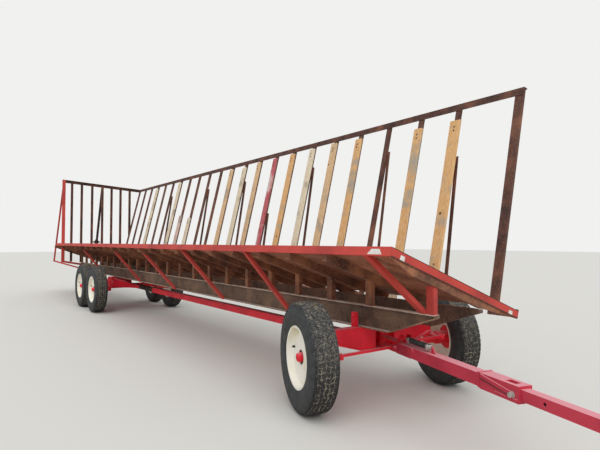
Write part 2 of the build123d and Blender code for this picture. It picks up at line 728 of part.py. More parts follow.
# Tongue: square tube between two rounded cheeks, with the cross pin, the sliding-tube collar
# and the spring's front lug
collar_size = tongue_tube + 2 * collar_wall
socket_end = tongue_collar_start + 120.0
with BuildPart() as tongue:
    with BuildSketch(tongue_section(tongue_tube_start)):
        Rectangle(tongue_tube, tongue_tube)
        Rectangle(tongue_tube - 2 * tongue_wall, tongue_tube - 2 * tongue_wall, mode=Mode.SUBTRACT)
    extrude(amount=socket_end - tongue_tube_start)
    with BuildSketch(tongue_section(tongue_collar_start)):
        Rectangle(collar_size, collar_size)
        Rectangle(tongue_tube, tongue_tube, mode=Mode.SUBTRACT)
    extrude(amount=socket_end - tongue_collar_start)
    with BuildSketch(tongue_section(socket_end)):
        Rectangle(collar_size, collar_size)
        Rectangle(inner_tube + 2 * running_gap, inner_tube + 2 * running_gap, mode=Mode.SUBTRACT)
    extrude(amount=tongue_collar_end - socket_end)
    with BuildSketch(tongue_section(tongue_collar_end - 160)):
        with Locations((0, collar_size / 2)):
            Rectangle(52, 60)
    extrude(amount=100, mode=Mode.SUBTRACT)
    for side in (-1, 1):
        with BuildSketch(tongue_side(side * (tongue_tube / 2 + cheek_thick / 2) + cheek_thick / 2)):
            with Locations((tongue_pin_s + cheek_length / 2, 0)):
                SlotCenterToCenter(cheek_length, 2 * cheek_radius)
        extrude(amount=cheek_thick)
    with BuildSketch(tongue_side(tongue_tube / 2 + cheek_thick + 10)):
        with Locations((tongue_pin_s, 0)):
            Circle(tongue_pin_radius)
    extrude(amount=tongue_tube + 2 * cheek_thick + 20)
    with BuildSketch(tongue_side(6)):
        closed_outline([(spring_end + 60, tongue_tube / 2), (spring_end + 20, tongue_tube / 2 + 62),
                        (spring_end, tongue_tube / 2 + 62), (spring_end, tongue_tube / 2)])
    extrude(amount=12)

# Lift spring above the tongue, hooked to its lug
spring_z = tongue_tube / 2 + 46
with BuildPart() as lift_spring:
    with BuildSketch(Plane(origin=ahead * spring_start + Vector(0, 0, tongue_z + spring_z),
                           x_dir=left, z_dir=ahead)):
        Circle(spring_radius)
    extrude(amount=spring_end - spring_start - seat_gap)

# Sliding inner tube with its hitch eye
with BuildPart() as tongue_slider:
    with BuildSketch(tongue_section(inner_tube_start)):
        Rectangle(inner_tube, inner_tube)
        Rectangle(inner_tube - 14, inner_tube - 14, mode=Mode.SUBTRACT)
    extrude(amount=inner_tube_end - inner_tube_start)
    with BuildSketch(tongue_side(inner_tube / 2)):
        with Locations((slider_hole_s, 0)):
            Circle(slider_hole_radius)
    extrude(amount=inner_tube, mode=Mode.SUBTRACT)

with BuildPart() as hitch_eye:
    with BuildSketch(flat_plane(pivot, tongue_z - eye_thick / 2)):
        with Locations(((inner_tube_end + eye_s) / 2 - 40, 0)):
            Rectangle(eye_s - inner_tube_end + 80, inner_tube - 14)
        with Locations((eye_s, 0)):
            Circle(eye_radius)
            Circle(eye_bore, mode=Mode.SUBTRACT)
    extrude(amount=eye_thick)

# Steering knuckles: kingpin, block, spindle and arm, one each side
knuckles = {}
rods = {}
for name, side in (("near", -1), ("far", 1)):
    kingpin = Vector(0, side * kingpin_spread / 2, 0)
    rod_z = tongue_z + side * rod_step_z / 2
    boss_bottom = axle_end_bottom - 22
    boss_top = sill_bottom + 12
    with BuildPart() as knuckle:
        with BuildSketch(flat_plane(kingpin, boss_bottom - running_gap)):
            Circle(kingpin_boss_radius + 4)
        extrude(amount=-(boss_bottom - tyre_radius + 40))
        with BuildSketch(flat_plane(kingpin, boss_bottom - 10)):
            Circle(kingpin_radius)
        extrude(amount=boss_top - boss_bottom + 30)
        with BuildSketch(flat_plane(kingpin, boss_top + running_gap)):
            RegularPolygon(30, 6)
        extrude(amount=22)
        axle_plane = Plane(origin=kingpin + Vector(0, 0, tyre_radius), x_dir=ahead, z_dir=left * side)
        with BuildSketch(axle_plane):
            Circle(spindle_radius)
        extrude(amount=kingpin_offset + spindle_end)
        with BuildSketch(axle_plane):
            Circle(spindle_radius + 20)
        extrude(amount=kingpin_offset + hub_inner - 4)
        with BuildSketch(flat_plane(kingpin, rod_z - rod_thick / 2 - running_gap)):
            with Locations((steer_arm / 2, 0)):
                Rectangle(steer_arm, 52)
            with Locations((steer_arm, 0)):
                Circle(rod_end_radius - 4)
        extrude(amount=-arm_thick)
        with BuildSketch(flat_plane(kingpin + ahead * steer_arm, rod_z - rod_thick)):
            Circle(rod_pin_radius)
        extrude(amount=rod_thick * 1.5 + 10)
    knuckles[name] = knuckle
    with BuildPart() as rod:
        eyes = (kingpin + ahead * steer_arm, ahead * steer_arm)
        for eye in eyes:
            with BuildSketch(flat_plane(eye, rod_z - rod_thick / 2)):
                Circle(rod_end_radius)
            extrude(amount=rod_thick)
        bar_start = eyes[1] + Vector(0, side * 20, rod_z)
        with BuildSketch(Plane(origin=bar_start, x_dir=(1, 0, 0), z_dir=(0, side, 0))):
            Rectangle(rod_width, rod_thick)
        extrude(amount=kingpin_spread / 2 - 40)
        for eye in eyes:
            with BuildSketch(flat_plane(eye, rod_z - rod_thick)):
                Circle(rod_pin_radius + running_gap)
            extrude(amount=2 * rod_thick, mode=Mode.SUBTRACT)
    rods[name] = rod

# Reach: a square tube from the front axle, with the pole that slides in it running back
reach_bore = reach_tube - 2 * reach_wall
with BuildPart() as reach_tube_part:
    with BuildSketch(cross_plane(reach_joint_x)):
        with Locations((0, reach_z)):
            Rectangle(reach_tube, reach_tube)
            Rectangle(reach_bore, reach_bore, mode=Mode.SUBTRACT)
    extrude(amount=-axle_width / 2 - reach_joint_x)

with BuildPart() as reach_pole:
    with BuildSketch(cross_plane(rear_axle_x + rear_bolster_width / 2)):
        with Locations((0, reach_z)):
            Rectangle(reach_bore - 2 * seat_gap, reach_bore - 2 * seat_gap)
    extrude(amount=reach_joint_x + reach_pole_tuck - rear_axle_x - rear_bolster_width / 2)

# Rear axle: bolster under the sills, cross tube, saddle plates and hounds to the reach
with BuildPart() as rear_axle:
    bolster_bottom = sill_bottom - beam_height
    with BuildSketch(cross_plane(rear_axle_x - rear_bolster_width / 2)):
        with Locations((0, sill_bottom - beam_height / 2)):
            Rectangle(2 * saddle_y + 2 * saddle_thick, beam_height)
        with Locations((0, (bolster_bottom + tyre_radius - cross_tube_radius) / 2)):
            Rectangle(140, bolster_bottom - tyre_radius + cross_tube_radius)
    extrude(amount=rear_bolster_width)
    tube_half = walking_beam_y - walking_beam_width / 2
    with BuildSketch(Plane.XZ.offset(-tube_half)):
        with Locations((rear_axle_x, tyre_radius)):
            Circle(cross_tube_radius)
    extrude(amount=2 * tube_half)
    for side in (-1, 1):
        with BuildSketch(Plane.XZ.offset(-side * saddle_y)):
            closed_outline([(rear_axle_x - saddle_top / 2, sill_bottom),
                            (rear_axle_x + saddle_top / 2, sill_bottom),
                            (rear_axle_x + saddle_foot / 2, tyre_radius + 60),
                            (rear_axle_x + saddle_foot / 2, tyre_radius - 20),
                            (rear_axle_x - saddle_foot / 2, tyre_radius - 20),
                            (rear_axle_x - saddle_foot / 2, tyre_radius + 60)])
        extrude(amount=-side * saddle_thick)
    hound_end_x = rear_axle_x + saddle_foot / 2 + seat_gap
    hound_drop = (hound_top - hound_tip_top) / (hound_start_x - hound_end_x)
    for side in (-1, 1):
        with BuildPart(mode=Mode.PRIVATE) as hound:
            with BuildSketch(Plane.XY.offset(hound_bottom)):
                closed_outline([(hound_start_x, side * reach_bore / 2),
                                (hound_start_x + 60, side * reach_bore / 2),
                                (hound_end_x, side * (saddle_y + saddle_thick)),
                                (hound_end_x, side * (saddle_y - 60))])
            extrude(amount=hound_top - hound_bottom)
            split(bisect_by=Plane(origin=(hound_end_x, 0, hound_top), z_dir=(hound_drop, 0, 1)),
                  keep=Keep.BOTTOM)
        add(hound.part)

# Walking beams on the cross tube's ends, with a spindle for each rear wheel
rear_half = rear_track / 2
with BuildPart() as walking_beams:
    for side in (-1, 1):
        inner_y = side * (walking_beam_y - walking_beam_width / 2)
        with BuildSketch(Plane.XZ.offset(-inner_y)):
            with Locations((rear_axle_x, tyre_radius)):
                SlotCenterToCenter(tandem_spacing, beam_height)
        extrude(amount=-side * walking_beam_width)
        for end in (-1, 1):
            with BuildSketch(Plane.XZ.offset(-inner_y)):
                with Locations((rear_axle_x + end * tandem_spacing / 2, tyre_radius)):
                    Circle(spindle_radius)
            extrude(amount=-side * (rear_half + spindle_end - abs(inner_y)))
            with BuildSketch(Plane.XZ.offset(-inner_y)):
                with Locations((rear_axle_x + end * tandem_spacing / 2, tyre_radius)):
                    Circle(spindle_radius + 20)
            extrude(amount=-side * (rear_half + hub_inner - 4 - abs(inner_y)))

# Wheel table: name, centre in plan, and the way its outer face looks
wheel_table = [
    ("front_near", Vector(0, -kingpin_spread / 2, 0) - left * kingpin_offset, left * -1),
    ("front_far", Vector(0, kingpin_spread / 2, 0) + left * kingpin_offset, left * 1),
]
for axle_name, way in (("middle", 1), ("rear", -1)):
    for side_name, side in (("near", -1), ("far", 1)):
        centre = Vector(rear_axle_x + way * tandem_spacing / 2, side * rear_half, 0)
        wheel_table.append((f"{axle_name}_{side_name}", centre, Vector(0, side, 0)))

half_tread = tread_width / 2
half_tyre = tyre_width / 2
half_rim = rim_width / 2
flange_inner = half_rim - 12
disc_front = disc_back + disc_wall
drop_radius = bead_radius - 24
wheel_nodes = {}
for name, centre, outward in wheel_table:
    hub_point = centre + Vector(0, 0, tyre_radius)
    up = Vector(0, 0, 1)
    profile_plane = Plane(origin=hub_point, x_dir=up, z_dir=up.cross(outward))
    spin = Axis(origin=hub_point, direction=outward)
    with BuildPart() as tyre:
        with BuildSketch(profile_plane):
            with BuildLine():
                Polyline((rim_radius, -flange_inner), (bead_radius, -flange_inner),
                         (bead_radius, flange_inner), (rim_radius, flange_inner))
                ThreePointArc((rim_radius, flange_inner), (rim_radius + 112, half_tyre),
                              (tyre_radius - 30, half_tread + 14))
                ThreePointArc((tyre_radius - 30, half_tread + 14), (tyre_radius - 14, half_tread + 8),
                              (tyre_radius - 5, half_tread - 8))
                ThreePointArc((tyre_radius - 5, half_tread - 8), (tyre_radius, 0),
                              (tyre_radius - 5, 8 - half_tread))
                ThreePointArc((tyre_radius - 5, 8 - half_tread), (tyre_radius - 14, -half_tread - 8),
                              (tyre_radius - 30, -half_tread - 14))
                ThreePointArc((tyre_radius - 30, -half_tread - 14), (rim_radius + 112, -half_tyre),
                              (rim_radius, -flange_inner))
            make_face()
        revolve(axis=spin)
    with BuildPart() as rim:
        with BuildSketch(profile_plane):
            closed_outline([(rim_radius, -half_rim), (rim_radius, -flange_inner),
                            (bead_radius, -flange_inner), (bead_radius, -60), (drop_radius, -40),
                            (drop_radius, 40), (bead_radius, 60), (bead_radius, flange_inner),
                            (rim_radius, flange_inner), (rim_radius, half_rim),
                            (bead_radius - rim_wall, half_rim), (bead_radius - rim_wall, 64),
                            (drop_radius - rim_wall, 44), (drop_radius - rim_wall, -44),
                            (bead_radius - rim_wall, -64), (bead_radius - rim_wall, -half_rim)])
            closed_outline([(drop_radius - rim_wall, 44), (drop_radius - rim_wall, 30),
                            (drop_radius - 40, disc_back), (disc_hole_radius, disc_back),
                            (disc_hole_radius, disc_front),
                            (drop_radius - 36, disc_front)])
        revolve(axis=spin)
        with BuildSketch(Plane(origin=hub_point + outward * half_rim, x_dir=up, z_dir=outward)):
            with PolarLocations(valve_hole_pitch, 1, start_angle=valve_hole_angle):
                Circle(valve_hole_radius)
        extrude(amount=-half_rim, mode=Mode.SUBTRACT)
    with BuildPart() as hub:
        with BuildSketch(profile_plane):
            closed_outline([(spindle_radius + running_gap, hub_inner), (hub_radius, hub_inner),
                            (hub_radius, disc_back - hub_flange),
                            (hub_flange_radius, disc_back - hub_flange), (hub_flange_radius, disc_back),
                            (hub_nose_radius, disc_back), (hub_nose_radius, disc_back + hub_nose - 14),
                            (hub_cap_radius, disc_back + hub_nose - 10),
                            (hub_cap_radius - 5, disc_back + hub_nose),
                            (0, disc_back + hub_nose), (0, spindle_end + 10),
                            (spindle_radius + running_gap, spindle_end + 10)])
        revolve(axis=spin)
    wheel_nodes[f"tyre_{name}"] = tyre
    wheel_nodes[f"rim_{name}"] = rim
    wheel_nodes[f"hub_{name}"] = hub

# Assembly list: node name and its builder
nodes = {
    "sills": sills, "deck_beams": deck_beams, "deck_floor": deck_floor, "edge_rail": edge_rail,
    "far_rail": far_rail, "beam_stubs": beam_stubs, "outrigger_braces": outrigger_braces,
    "wall_bars": wall_bars, "top_rails": top_rails, "wall_planks": wall_planks,
    "wall_struts": wall_struts, "strut_feet": strut_feet, "rear_bars": rear_bars,
    "corner_post": corner_post,
    "corner_brace": corner_brace, "middle_brace": middle_brace,
    "front_axle": front_axle, "reach_tube": reach_tube_part, "reach_pole": reach_pole,
    "rear_axle": rear_axle, "walking_beams": walking_beams,
    "steer_head": steer_head, "tongue_tube": tongue, "lift_spring": lift_spring,
    "tongue_slider": tongue_slider, "hitch_eye": hitch_eye,
    "knuckle_near": knuckles["near"], "knuckle_far": knuckles["far"],
    "tie_rod_near": rods["near"], "tie_rod_far": rods["far"],
}
nodes.update(wheel_nodes)

# The origin is on the ground at the middle of the wagon's length and width
boxes = [piece.part.bounding_box() for piece in nodes.values()]
middle_x = (min(b.min.X for b in boxes) + max(b.max.X for b in boxes)) / 2
middle_y = (min(b.min.Y for b in boxes) + max(b.max.Y for b in boxes)) / 2
to_origin = Location((-middle_x, -middle_y, 0))
print("front axle is at x, y:", -middle_x, -middle_y)

os.makedirs("parts", exist_ok=True)
for name, piece in nodes.items():
    placed = piece.part.moved(to_origin)
    placed.label = name
    export_step(placed, f"parts/{name}.step")
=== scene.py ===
# %% [markdown]
# # Dressing a bale wagon
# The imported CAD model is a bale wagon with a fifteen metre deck: the deck is tilted and lies
# on two long sills, a tall slatted wall stands on its low side, and under it are a steered
# front axle with a drawbar and tandem wheels at the rear. Its main dimensions are all there.
# This lesson gives it what a drawing leaves out: tread on the tyres, grain in the boards, a
# wound spring, bolts, rust and faded paint.

import json
import math

import bmesh
import bpy
from mathutils import Matrix, Vector, noise


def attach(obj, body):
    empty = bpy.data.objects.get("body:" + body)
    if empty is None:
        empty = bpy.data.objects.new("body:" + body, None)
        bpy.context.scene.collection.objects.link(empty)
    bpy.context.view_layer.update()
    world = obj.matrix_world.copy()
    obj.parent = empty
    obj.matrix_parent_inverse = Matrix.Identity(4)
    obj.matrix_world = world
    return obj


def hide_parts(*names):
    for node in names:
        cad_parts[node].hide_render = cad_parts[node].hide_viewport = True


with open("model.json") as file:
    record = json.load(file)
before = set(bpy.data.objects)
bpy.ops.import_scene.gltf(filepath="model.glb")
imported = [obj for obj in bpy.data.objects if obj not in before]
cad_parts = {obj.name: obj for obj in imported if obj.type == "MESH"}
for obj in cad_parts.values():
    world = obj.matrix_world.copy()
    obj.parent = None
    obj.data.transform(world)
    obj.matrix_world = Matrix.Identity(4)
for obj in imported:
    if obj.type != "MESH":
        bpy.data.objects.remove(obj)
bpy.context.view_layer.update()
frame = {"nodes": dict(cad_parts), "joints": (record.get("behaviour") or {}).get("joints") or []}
cad_nodes = frame["nodes"]
print("CAD nodes:", len(cad_nodes))

# %% [markdown]
# ## Frames of reference
# The wagon's parts are easiest to place from the front axle: X forward, Y to the left, Z up,
# in metres. The drawbar is steered to one side, so it gets its own pair of directions, ahead
# along the bar and left of it. Both come from the joints, so they can't drift from the CAD.
# Two more pairs follow the tilted deck (down its slope and above it) and the leaning wall
# (up along it and out of it). The wall's bars stand at one pitch, which is used again below.

# %% Places on the wagon
joint = {j["name"]: j for j in frame["joints"]}
front_axle = Vector((*joint["steer"]["pos_m"][:2], 0.0))
ahead = Vector(joint["hitch_slide"]["axis"])
left = Vector((-ahead.y, ahead.x, 0.0))
up = Vector((0.0, 0.0, 1.0))
tongue_z = joint["tongue_pitch"]["pos_m"][2]
deck_tilt = math.radians(20.0)
deck_near = (-0.881, 1.5206)
wall_lean = math.radians(13.6)
wall_foot = (0.930, 0.8615)
bar_pitch = 0.609


def at(x, y, z):
    return front_axle + Vector((x, y, z))


def on_tongue(s, side, above):
    return front_axle + ahead * s + left * side + Vector((0.0, 0.0, tongue_z + above))


def on_deck(u, w):
    return (deck_near[0] + u * math.cos(deck_tilt) + w * math.sin(deck_tilt),
            deck_near[1] - u * math.sin(deck_tilt) + w * math.cos(deck_tilt))


def on_wall(v, n):
    return (wall_foot[0] + v * math.sin(wall_lean) + n * math.cos(wall_lean),
            wall_foot[1] + v * math.cos(wall_lean) - n * math.sin(wall_lean))


print("front axle at", tuple(round(c, 3) for c in front_axle))

# %% [markdown]
# ## Colour and node helpers
# Colours are picked from a screen, so they are sRGB hex values, while the shaders compute in
# linear light. One function converts them. A second adds any node with its settings and
# links. The types of all shader nodes start with ShaderNode, so it puts that word in front.
# An input is a number, a hex colour, a socket, or a node, whose first live output is taken.


# %% Colour and node helpers
def srgb(code):
    parts = [int(code[i:i + 2], 16) / 255 for i in (0, 2, 4)]
    linear = [c / 12.92 if c <= 0.04045 else ((c + 0.055) / 1.055) ** 2.4 for c in parts]
    return (*linear, 1.0)


def add(tree, kind, inputs=None, stops=(), **settings):
    node = tree.nodes.new("ShaderNode" + kind)
    for key, value in settings.items():
        setattr(node, key, value)
    for key, value in (inputs or {}).items():
        socket = node.inputs[key]
        if isinstance(value, bpy.types.Node):
            value = next(output for output in value.outputs if output.enabled)
        if isinstance(value, bpy.types.NodeSocket):
            tree.links.new(value, socket)
        else:
            socket.default_value = srgb(value) if isinstance(value, str) else value
    if stops:
        elements = node.color_ramp.elements
        while len(elements) < len(stops):
            elements.new(0.5)
        for element, (position, code) in zip(elements, stops):
            element.position = position
            element.color = srgb(code)
    return node


print("mid grey in linear light:", round(srgb("808080")[0], 3))

# %% [markdown]
# ## Parts that every finish shares
# Each material starts from the object's own coordinates and ends in one shader with a little
# bump. Between them, stains are laid over a ground colour. A stain shows where every one of
# its steps is passed, and a step is a driver, such as a noise or a height, with the value
# where the stain starts and the one where it is full. Noise is scaled by a real size: on
# coordinates in metres, one_mm divided by a size in millimetres gives spots of that size.

# %% Start, stain and end of a material
one_mm = 1000.0


def new_material(name):
    material = bpy.data.materials.new(name)
    material.use_nodes = True
    tree = material.node_tree
    tree.nodes.clear()
    return material, tree, add(tree, "TexCoord").outputs["Object"]


def stained(tree, colour, stain, *steps):
    share = None
    for driver, start_value, full_value in steps:
        step = add(tree, "MapRange",
                   {"Value": driver, "From Min": start_value, "From Max": full_value})
        if share is not None:
            step = add(tree, "Math", {0: share, 1: step}, operation="MULTIPLY")
        share = step
    return add(tree, "Mix", {"Factor": share, 6: colour, 7: stain}, data_type="RGBA")


def upward_part(tree):
    normal = add(tree, "NewGeometry").outputs["Normal"]
    return add(tree, "SeparateXYZ", {"Vector": normal}).outputs["Z"]


def surface(tree, material, colour, roughness, height, depth_mm, metallic=0.0):
    smoothest, roughest, driver = roughness
    spread = add(tree, "MapRange", {"Value": driver, "To Min": smoothest, "To Max": roughest})
    bump = add(tree, "Bump", {"Height": height, "Distance": depth_mm / one_mm})
    shader = add(tree, "BsdfPrincipled", {"Base Color": colour, "Metallic": metallic,
                                          "Roughness": spread, "Normal": bump})
    add(tree, "OutputMaterial", {"Surface": shader})
    return material


print("noise scale for spots of 20 mm:", one_mm / 20)

# %% [markdown]
# ## Rusty rolled steel
# The deck beams and the wall's bars are hot-rolled channel that was never painted well. Mill
# scale has gone brown, with orange blooms and darker runs. A picture wrapped round such long
# bars would smear or repeat, so noise of real sizes is used. Every bar came from another
# length of stock, so a value read from its place along the wagon shifts each one a little.
# The sills get a pale painted highlight on top, and the top rail's upper part a painted shade.

# %% Rusty steel
bar_shift = 0.30
shade_blur = 0.006


def rusty_steel(name, dark, brown, bloom, pale_bars=None, top_highlight=None, shaded_from=None):
    material, tree, place = new_material(name)
    blotch = add(tree, "TexNoise",
                 {"Vector": place, "Scale": one_mm / 260, "Detail": 5.0, "Roughness": 0.6})
    fleck = add(tree, "TexNoise",
                {"Vector": place, "Scale": one_mm / 22, "Detail": 4.0, "Roughness": 0.65})
    colour = add(tree, "ValToRGB", {"Fac": blotch}, [(0.34, dark), (0.52, brown), (0.70, bloom)])
    colour = stained(tree, colour, bloom, (fleck, 0.52, 0.74))
    colour = stained(tree, colour, dark, (fleck, 0.42, 0.26))
    if pale_bars:
        x = add(tree, "SeparateXYZ", {"Vector": place}).outputs["X"]
        shifted = add(tree, "Math", {0: x, 1: bar_shift}, operation="ADD")
        pitches = add(tree, "Math", {0: shifted, 1: bar_pitch}, operation="DIVIDE")
        number = add(tree, "Math", {0: pitches}, operation="FLOOR")
        own = add(tree, "TexWhiteNoise", {"W": number}, noise_dimensions="1D")
        colour = stained(tree, colour, dark, (own, 0.1, 2.2))
        colour = stained(tree, colour, pale_bars, (own, 0.62, 1.6))
    # Pale tint on faces that look up: a painted highlight.
    if top_highlight:
        colour = stained(tree, colour, top_highlight, (upward_part(tree), 0.6, 1.0))
    if shaded_from:
        z = add(tree, "SeparateXYZ", {"Vector": place}).outputs["Z"]
        band = (z, shaded_from - shade_blur, shaded_from + shade_blur)
        colour = stained(tree, colour, "2C2120", band)
    return surface(tree, material, colour, (0.62, 0.9, fleck), height=fleck, depth_mm=0.5)


bar_steel = rusty_steel("hot_rolled_bar_rusted", "422C27", "694538", "96634A", pale_bars="9A7A66")
beam_steel = rusty_steel("hot_rolled_beam_rusted", "50342A", "80543E", "AE7452")
sill_steel = rusty_steel("sill_channel_brown", "524036", "735A4A", "8E6E58", top_highlight="E6DAD0")
sheet_steel = rusty_steel("floor_sheet_rusted", "6A4230", "985F47", "C0876A")
rail_steel = rusty_steel("far_rail_rusted", "41291F", "684335", "8E5E47")
top_steel = rusty_steel("top_rail_rusted", "35221E", "5A3A30", "84543F", shaded_from=3.508)
dark_pole = rusty_steel("reach_pole_dark", "241C1A", "38302C", "54453C")
# Pale tints for thin bars on the sills' flange toes: painted highlight.
toe_highlight = rusty_steel("flange_toe_highlight", "9A8474", "C2AE9E", "DCCDC0")
low_toe_highlight = rusty_steel("flange_edge_low", "6E5646", "8E735D", "AC8E74")
print("rusty steel of the bars:", len(bar_steel.node_tree.nodes), "nodes")

# %% [markdown]
# ## Red paints
# The rack's edge rails and braces wear an old, chalky red, scratched through to rust. The
# running gear under them is a younger, stronger red, and the drawbar is between the two. On
# all of them, the faces that look up get a lighter, pinker tint: partly fading and dust,
# partly a painted highlight where the light falls on top. That could be a second material on
# those faces, but the upward part of the normal also catches a curved one, so it drives the
# tint. Where the paint is worn off, the surface is rougher as well.


# %% Red paints
def red_paint(name, deep, body, top_dust_and_highlight, rust, wear, gloss):
    material, tree, place = new_material(name)
    cloud = add(tree, "TexNoise",
                {"Vector": place, "Scale": one_mm / 420, "Detail": 3.0, "Roughness": 0.5})
    chip = add(tree, "TexNoise",
               {"Vector": place, "Scale": one_mm / 34, "Detail": 6.0, "Roughness": 0.7})
    speck = add(tree, "TexNoise",
                {"Vector": place, "Scale": one_mm / 6, "Detail": 3.0, "Roughness": 0.6})
    colour = add(tree, "ValToRGB", {"Fac": cloud}, [(0.32, deep), (0.55, body), (0.8, body)])
    # Faces that look up are tinted lighter: partly fading and dust, partly a painted highlight.
    top_dust_and_highlight_share = add(tree, "MapRange", {"Value": upward_part(tree), "From Min": 0.45,
                                   "From Max": 1.0, "To Max": 0.72})
    colour = add(tree, "Mix", {"Factor": top_dust_and_highlight_share, 6: colour, 7: top_dust_and_highlight}, data_type="RGBA")
    worn = add(tree, "MapRange", {"Value": chip, "From Min": wear, "From Max": wear + 0.06})
    colour = add(tree, "Mix", {"Factor": worn, 6: colour, 7: rust}, data_type="RGBA")
    rough = add(tree, "Math", {0: speck, 1: worn}, operation="MAXIMUM")
    return surface(tree, material, colour, (gloss, 0.85, rough), height=speck, depth_mm=0.12)


rack_red = red_paint("rack_paint_faded_red", "B03A34", "CA463C", "D6685C", "7E4030", 0.62, 0.5)
gear_red = red_paint("gear_paint_red", "DC1A30", "F8263C", "EE949E", "8A3228", 0.68, 0.36)
tongue_red = red_paint("drawbar_paint_red", "B0283E", "CC384E", "EFAAB2", "8A463C", 0.66, 0.42)
print("red paints:", rack_red.name, gear_red.name, tongue_red.name)

# %% [markdown]
# ## Cream wheel paint
# The wheels are pressed steel, painted cream. Rain has washed dust down the dish, so a slow
# noise stains it towards straw and a fine one adds specks. The noise is read at each wheel's
# own place, so the six wheels differ though they share one material.

# %% Cream wheels
wheel_cream, tree, place = new_material("wheel_paint_cream")
stain = add(tree, "TexNoise",
            {"Vector": place, "Scale": one_mm / 240, "Detail": 4.0, "Roughness": 0.6})
specks = add(tree, "TexNoise",
             {"Vector": place, "Scale": one_mm / 9, "Detail": 5.0, "Roughness": 0.7})
colour = add(tree, "ValToRGB", {"Fac": stain},
             [(0.36, "FBF9F2"), (0.58, "F6F2E4"), (0.76, "DDD3AA")])
colour = stained(tree, colour, "9C8E6C", (specks, 0.68, 0.76))
surface(tree, wheel_cream, colour, (0.38, 0.7, stain), height=specks, depth_mm=0.08)
print("wheel paint:", wheel_cream.name, "of", len(tree.nodes), "nodes")

# %% [markdown]
# ## Tyre rubber
# A farm tyre is carbon-black rubber that has greyed. Dust packs the grooves, mud and pale
# spots cling to the tread, and the side walls stay dark. What shows where depends on the
# distance from the wheel's axle and on the height above the ground, so both are worked out
# from the coordinates. The tread is lower towards its shoulders, so a share of the squared
# distance from the middle plane is added to the radius before it tells groove from block.

# %% Rubber
# Steps in metres of radius, except the middle's, which are squared distances from its plane.
groove_steps = (0.5240, 0.5200)
middle_steps = (0.0094, 0.0082)
tread_steps = (0.492, 0.512)
crown_share = 0.6


def tyre_rubber(name, axle, outward):
    material, tree, place = new_material(name)
    fine, cloud, clods, spots, mud = [
        add(tree, "TexNoise",
            {"Vector": place, "Scale": one_mm / size_mm, "Detail": detail, "Roughness": roughness})
        for size_mm, detail, roughness in ((5, 4.0, 0.6), (70, 5.0, 0.65), (45, 4.0, 0.7),
                                           (17, 4.0, 0.75), (120, 6.0, 0.8))]
    from_axle = add(tree, "VectorMath", {0: place, 1: tuple(axle)}, operation="SUBTRACT")
    along = add(tree, "VectorMath", {0: from_axle, 1: tuple(outward)}, operation="DOT_PRODUCT")
    squared = add(tree, "VectorMath", {0: from_axle, 1: from_axle}, operation="DOT_PRODUCT")
    off_middle = add(tree, "Math", {0: along, 1: along}, operation="MULTIPLY")
    radius = add(tree, "Math", {0: squared, 1: off_middle}, operation="SUBTRACT")
    radius = add(tree, "Math", {0: radius}, operation="SQRT")
    crown = add(tree, "Math", {0: off_middle, 1: crown_share, 2: radius}, operation="MULTIPLY_ADD")
    z = add(tree, "SeparateXYZ", {"Vector": place}).outputs["Z"]
    on_tread = (radius, *tread_steps)
    colour = add(tree, "ValToRGB", {"Fac": cloud},
                 [(0.35, "2E3032"), (0.6, "404244"), (0.8, "525250")])
    # The tread darkens towards the ground: painted shade on the tyre's lower half.
    colour = stained(tree, colour, "26272A", (z, 0.85, 0.45), on_tread)
    colour = stained(tree, colour, "BAB2A0", (crown, *groove_steps), (off_middle, *middle_steps),
                     (clods, 0.40, 0.56), (z, 1.15, 0.45))
    colour = stained(tree, colour, "B2AB9C", (spots, 0.53, 0.60), (z, 0.30, 1.3), on_tread)
    colour = stained(tree, colour, "AA9674", (mud, 0.55, 0.64), (z, 0.60, 1.0), on_tread)
    return surface(tree, material, colour, (0.62, 0.88, fine), height=fine, depth_mm=0.2)


print("tread starts at a radius of", tread_steps[0], "m")

# %% [markdown]
# ## Weathered boards
# The boards on the wall are rough-sawn spruce, some bare, some with old paint. Sawn grain
# runs along a board, so the noise is stretched along the wall's lean instead of drawing
# lines board by board. Greyed patches lie over it, and knots are small dark spots.

# %% Board timber
grain_stretch = 0.07
knots_per_metre = 3.4


def board_timber(name, pale, body, dark, weathered):
    material, tree, place = new_material(name)
    turned = add(tree, "Mapping", {"Vector": place, "Rotation": (wall_lean, 0.0, 0.0),
                                   "Scale": (1.0, 1.0, grain_stretch)})
    lines = add(tree, "TexNoise",
                {"Vector": turned, "Scale": one_mm / 16, "Detail": 6.0, "Roughness": 0.62})
    patch = add(tree, "TexNoise",
                {"Vector": place, "Scale": one_mm / 330, "Detail": 4.0, "Roughness": 0.6})
    saw_marks = add(tree, "TexNoise",
                    {"Vector": turned, "Scale": one_mm / 4, "Detail": 4.0, "Roughness": 0.7})
    knots = add(tree, "TexVoronoi", {"Vector": place, "Scale": knots_per_metre}, feature="F1")
    colour = add(tree, "ValToRGB", {"Fac": lines}, [(0.22, dark), (0.48, body), (0.76, pale)])
    colour = stained(tree, colour, weathered, (patch, 0.52, 0.66))
    colour = stained(tree, colour, "5A3A26", (knots, 0.085, 0.05))
    return surface(tree, material, colour, (0.66, 0.92, lines), height=saw_marks, depth_mm=0.9)


boards_orange = board_timber("sawn_board_orange", "F0CC9A", "E4B47A", "BC8450", "B4A896")
boards_tan = board_timber("sawn_board_tan", "EBD3AE", "DFBC90", "B48C62", "B5A692")
boards_pale = board_timber("sawn_board_pale", "F2E9D4", "E8DABE", "C6B08C", "B4A896")
boards_red = board_timber("sawn_board_old_red", "D88C86", "C4606A", "9A4650", "E0C8C0")
boards_pink = board_timber("sawn_board_pale_pink", "EEDACC", "E0C2B4", "B8988A", "A89A8E")
print("board timber:", len(boards_tan.node_tree.nodes), "nodes")

# %% [markdown]
# ## Bright metal and white paint
# The collar's bolts and the spring's ends are zinc plated: a pale, slightly blue metal that
# has dulled. The spring is oil-hardened wire, nearly black, and the hitch eye is a forging
# worn bare. White paint is the same recipe without the metal. All are small, so one cloudy
# noise between a dark and a pale tone says enough.


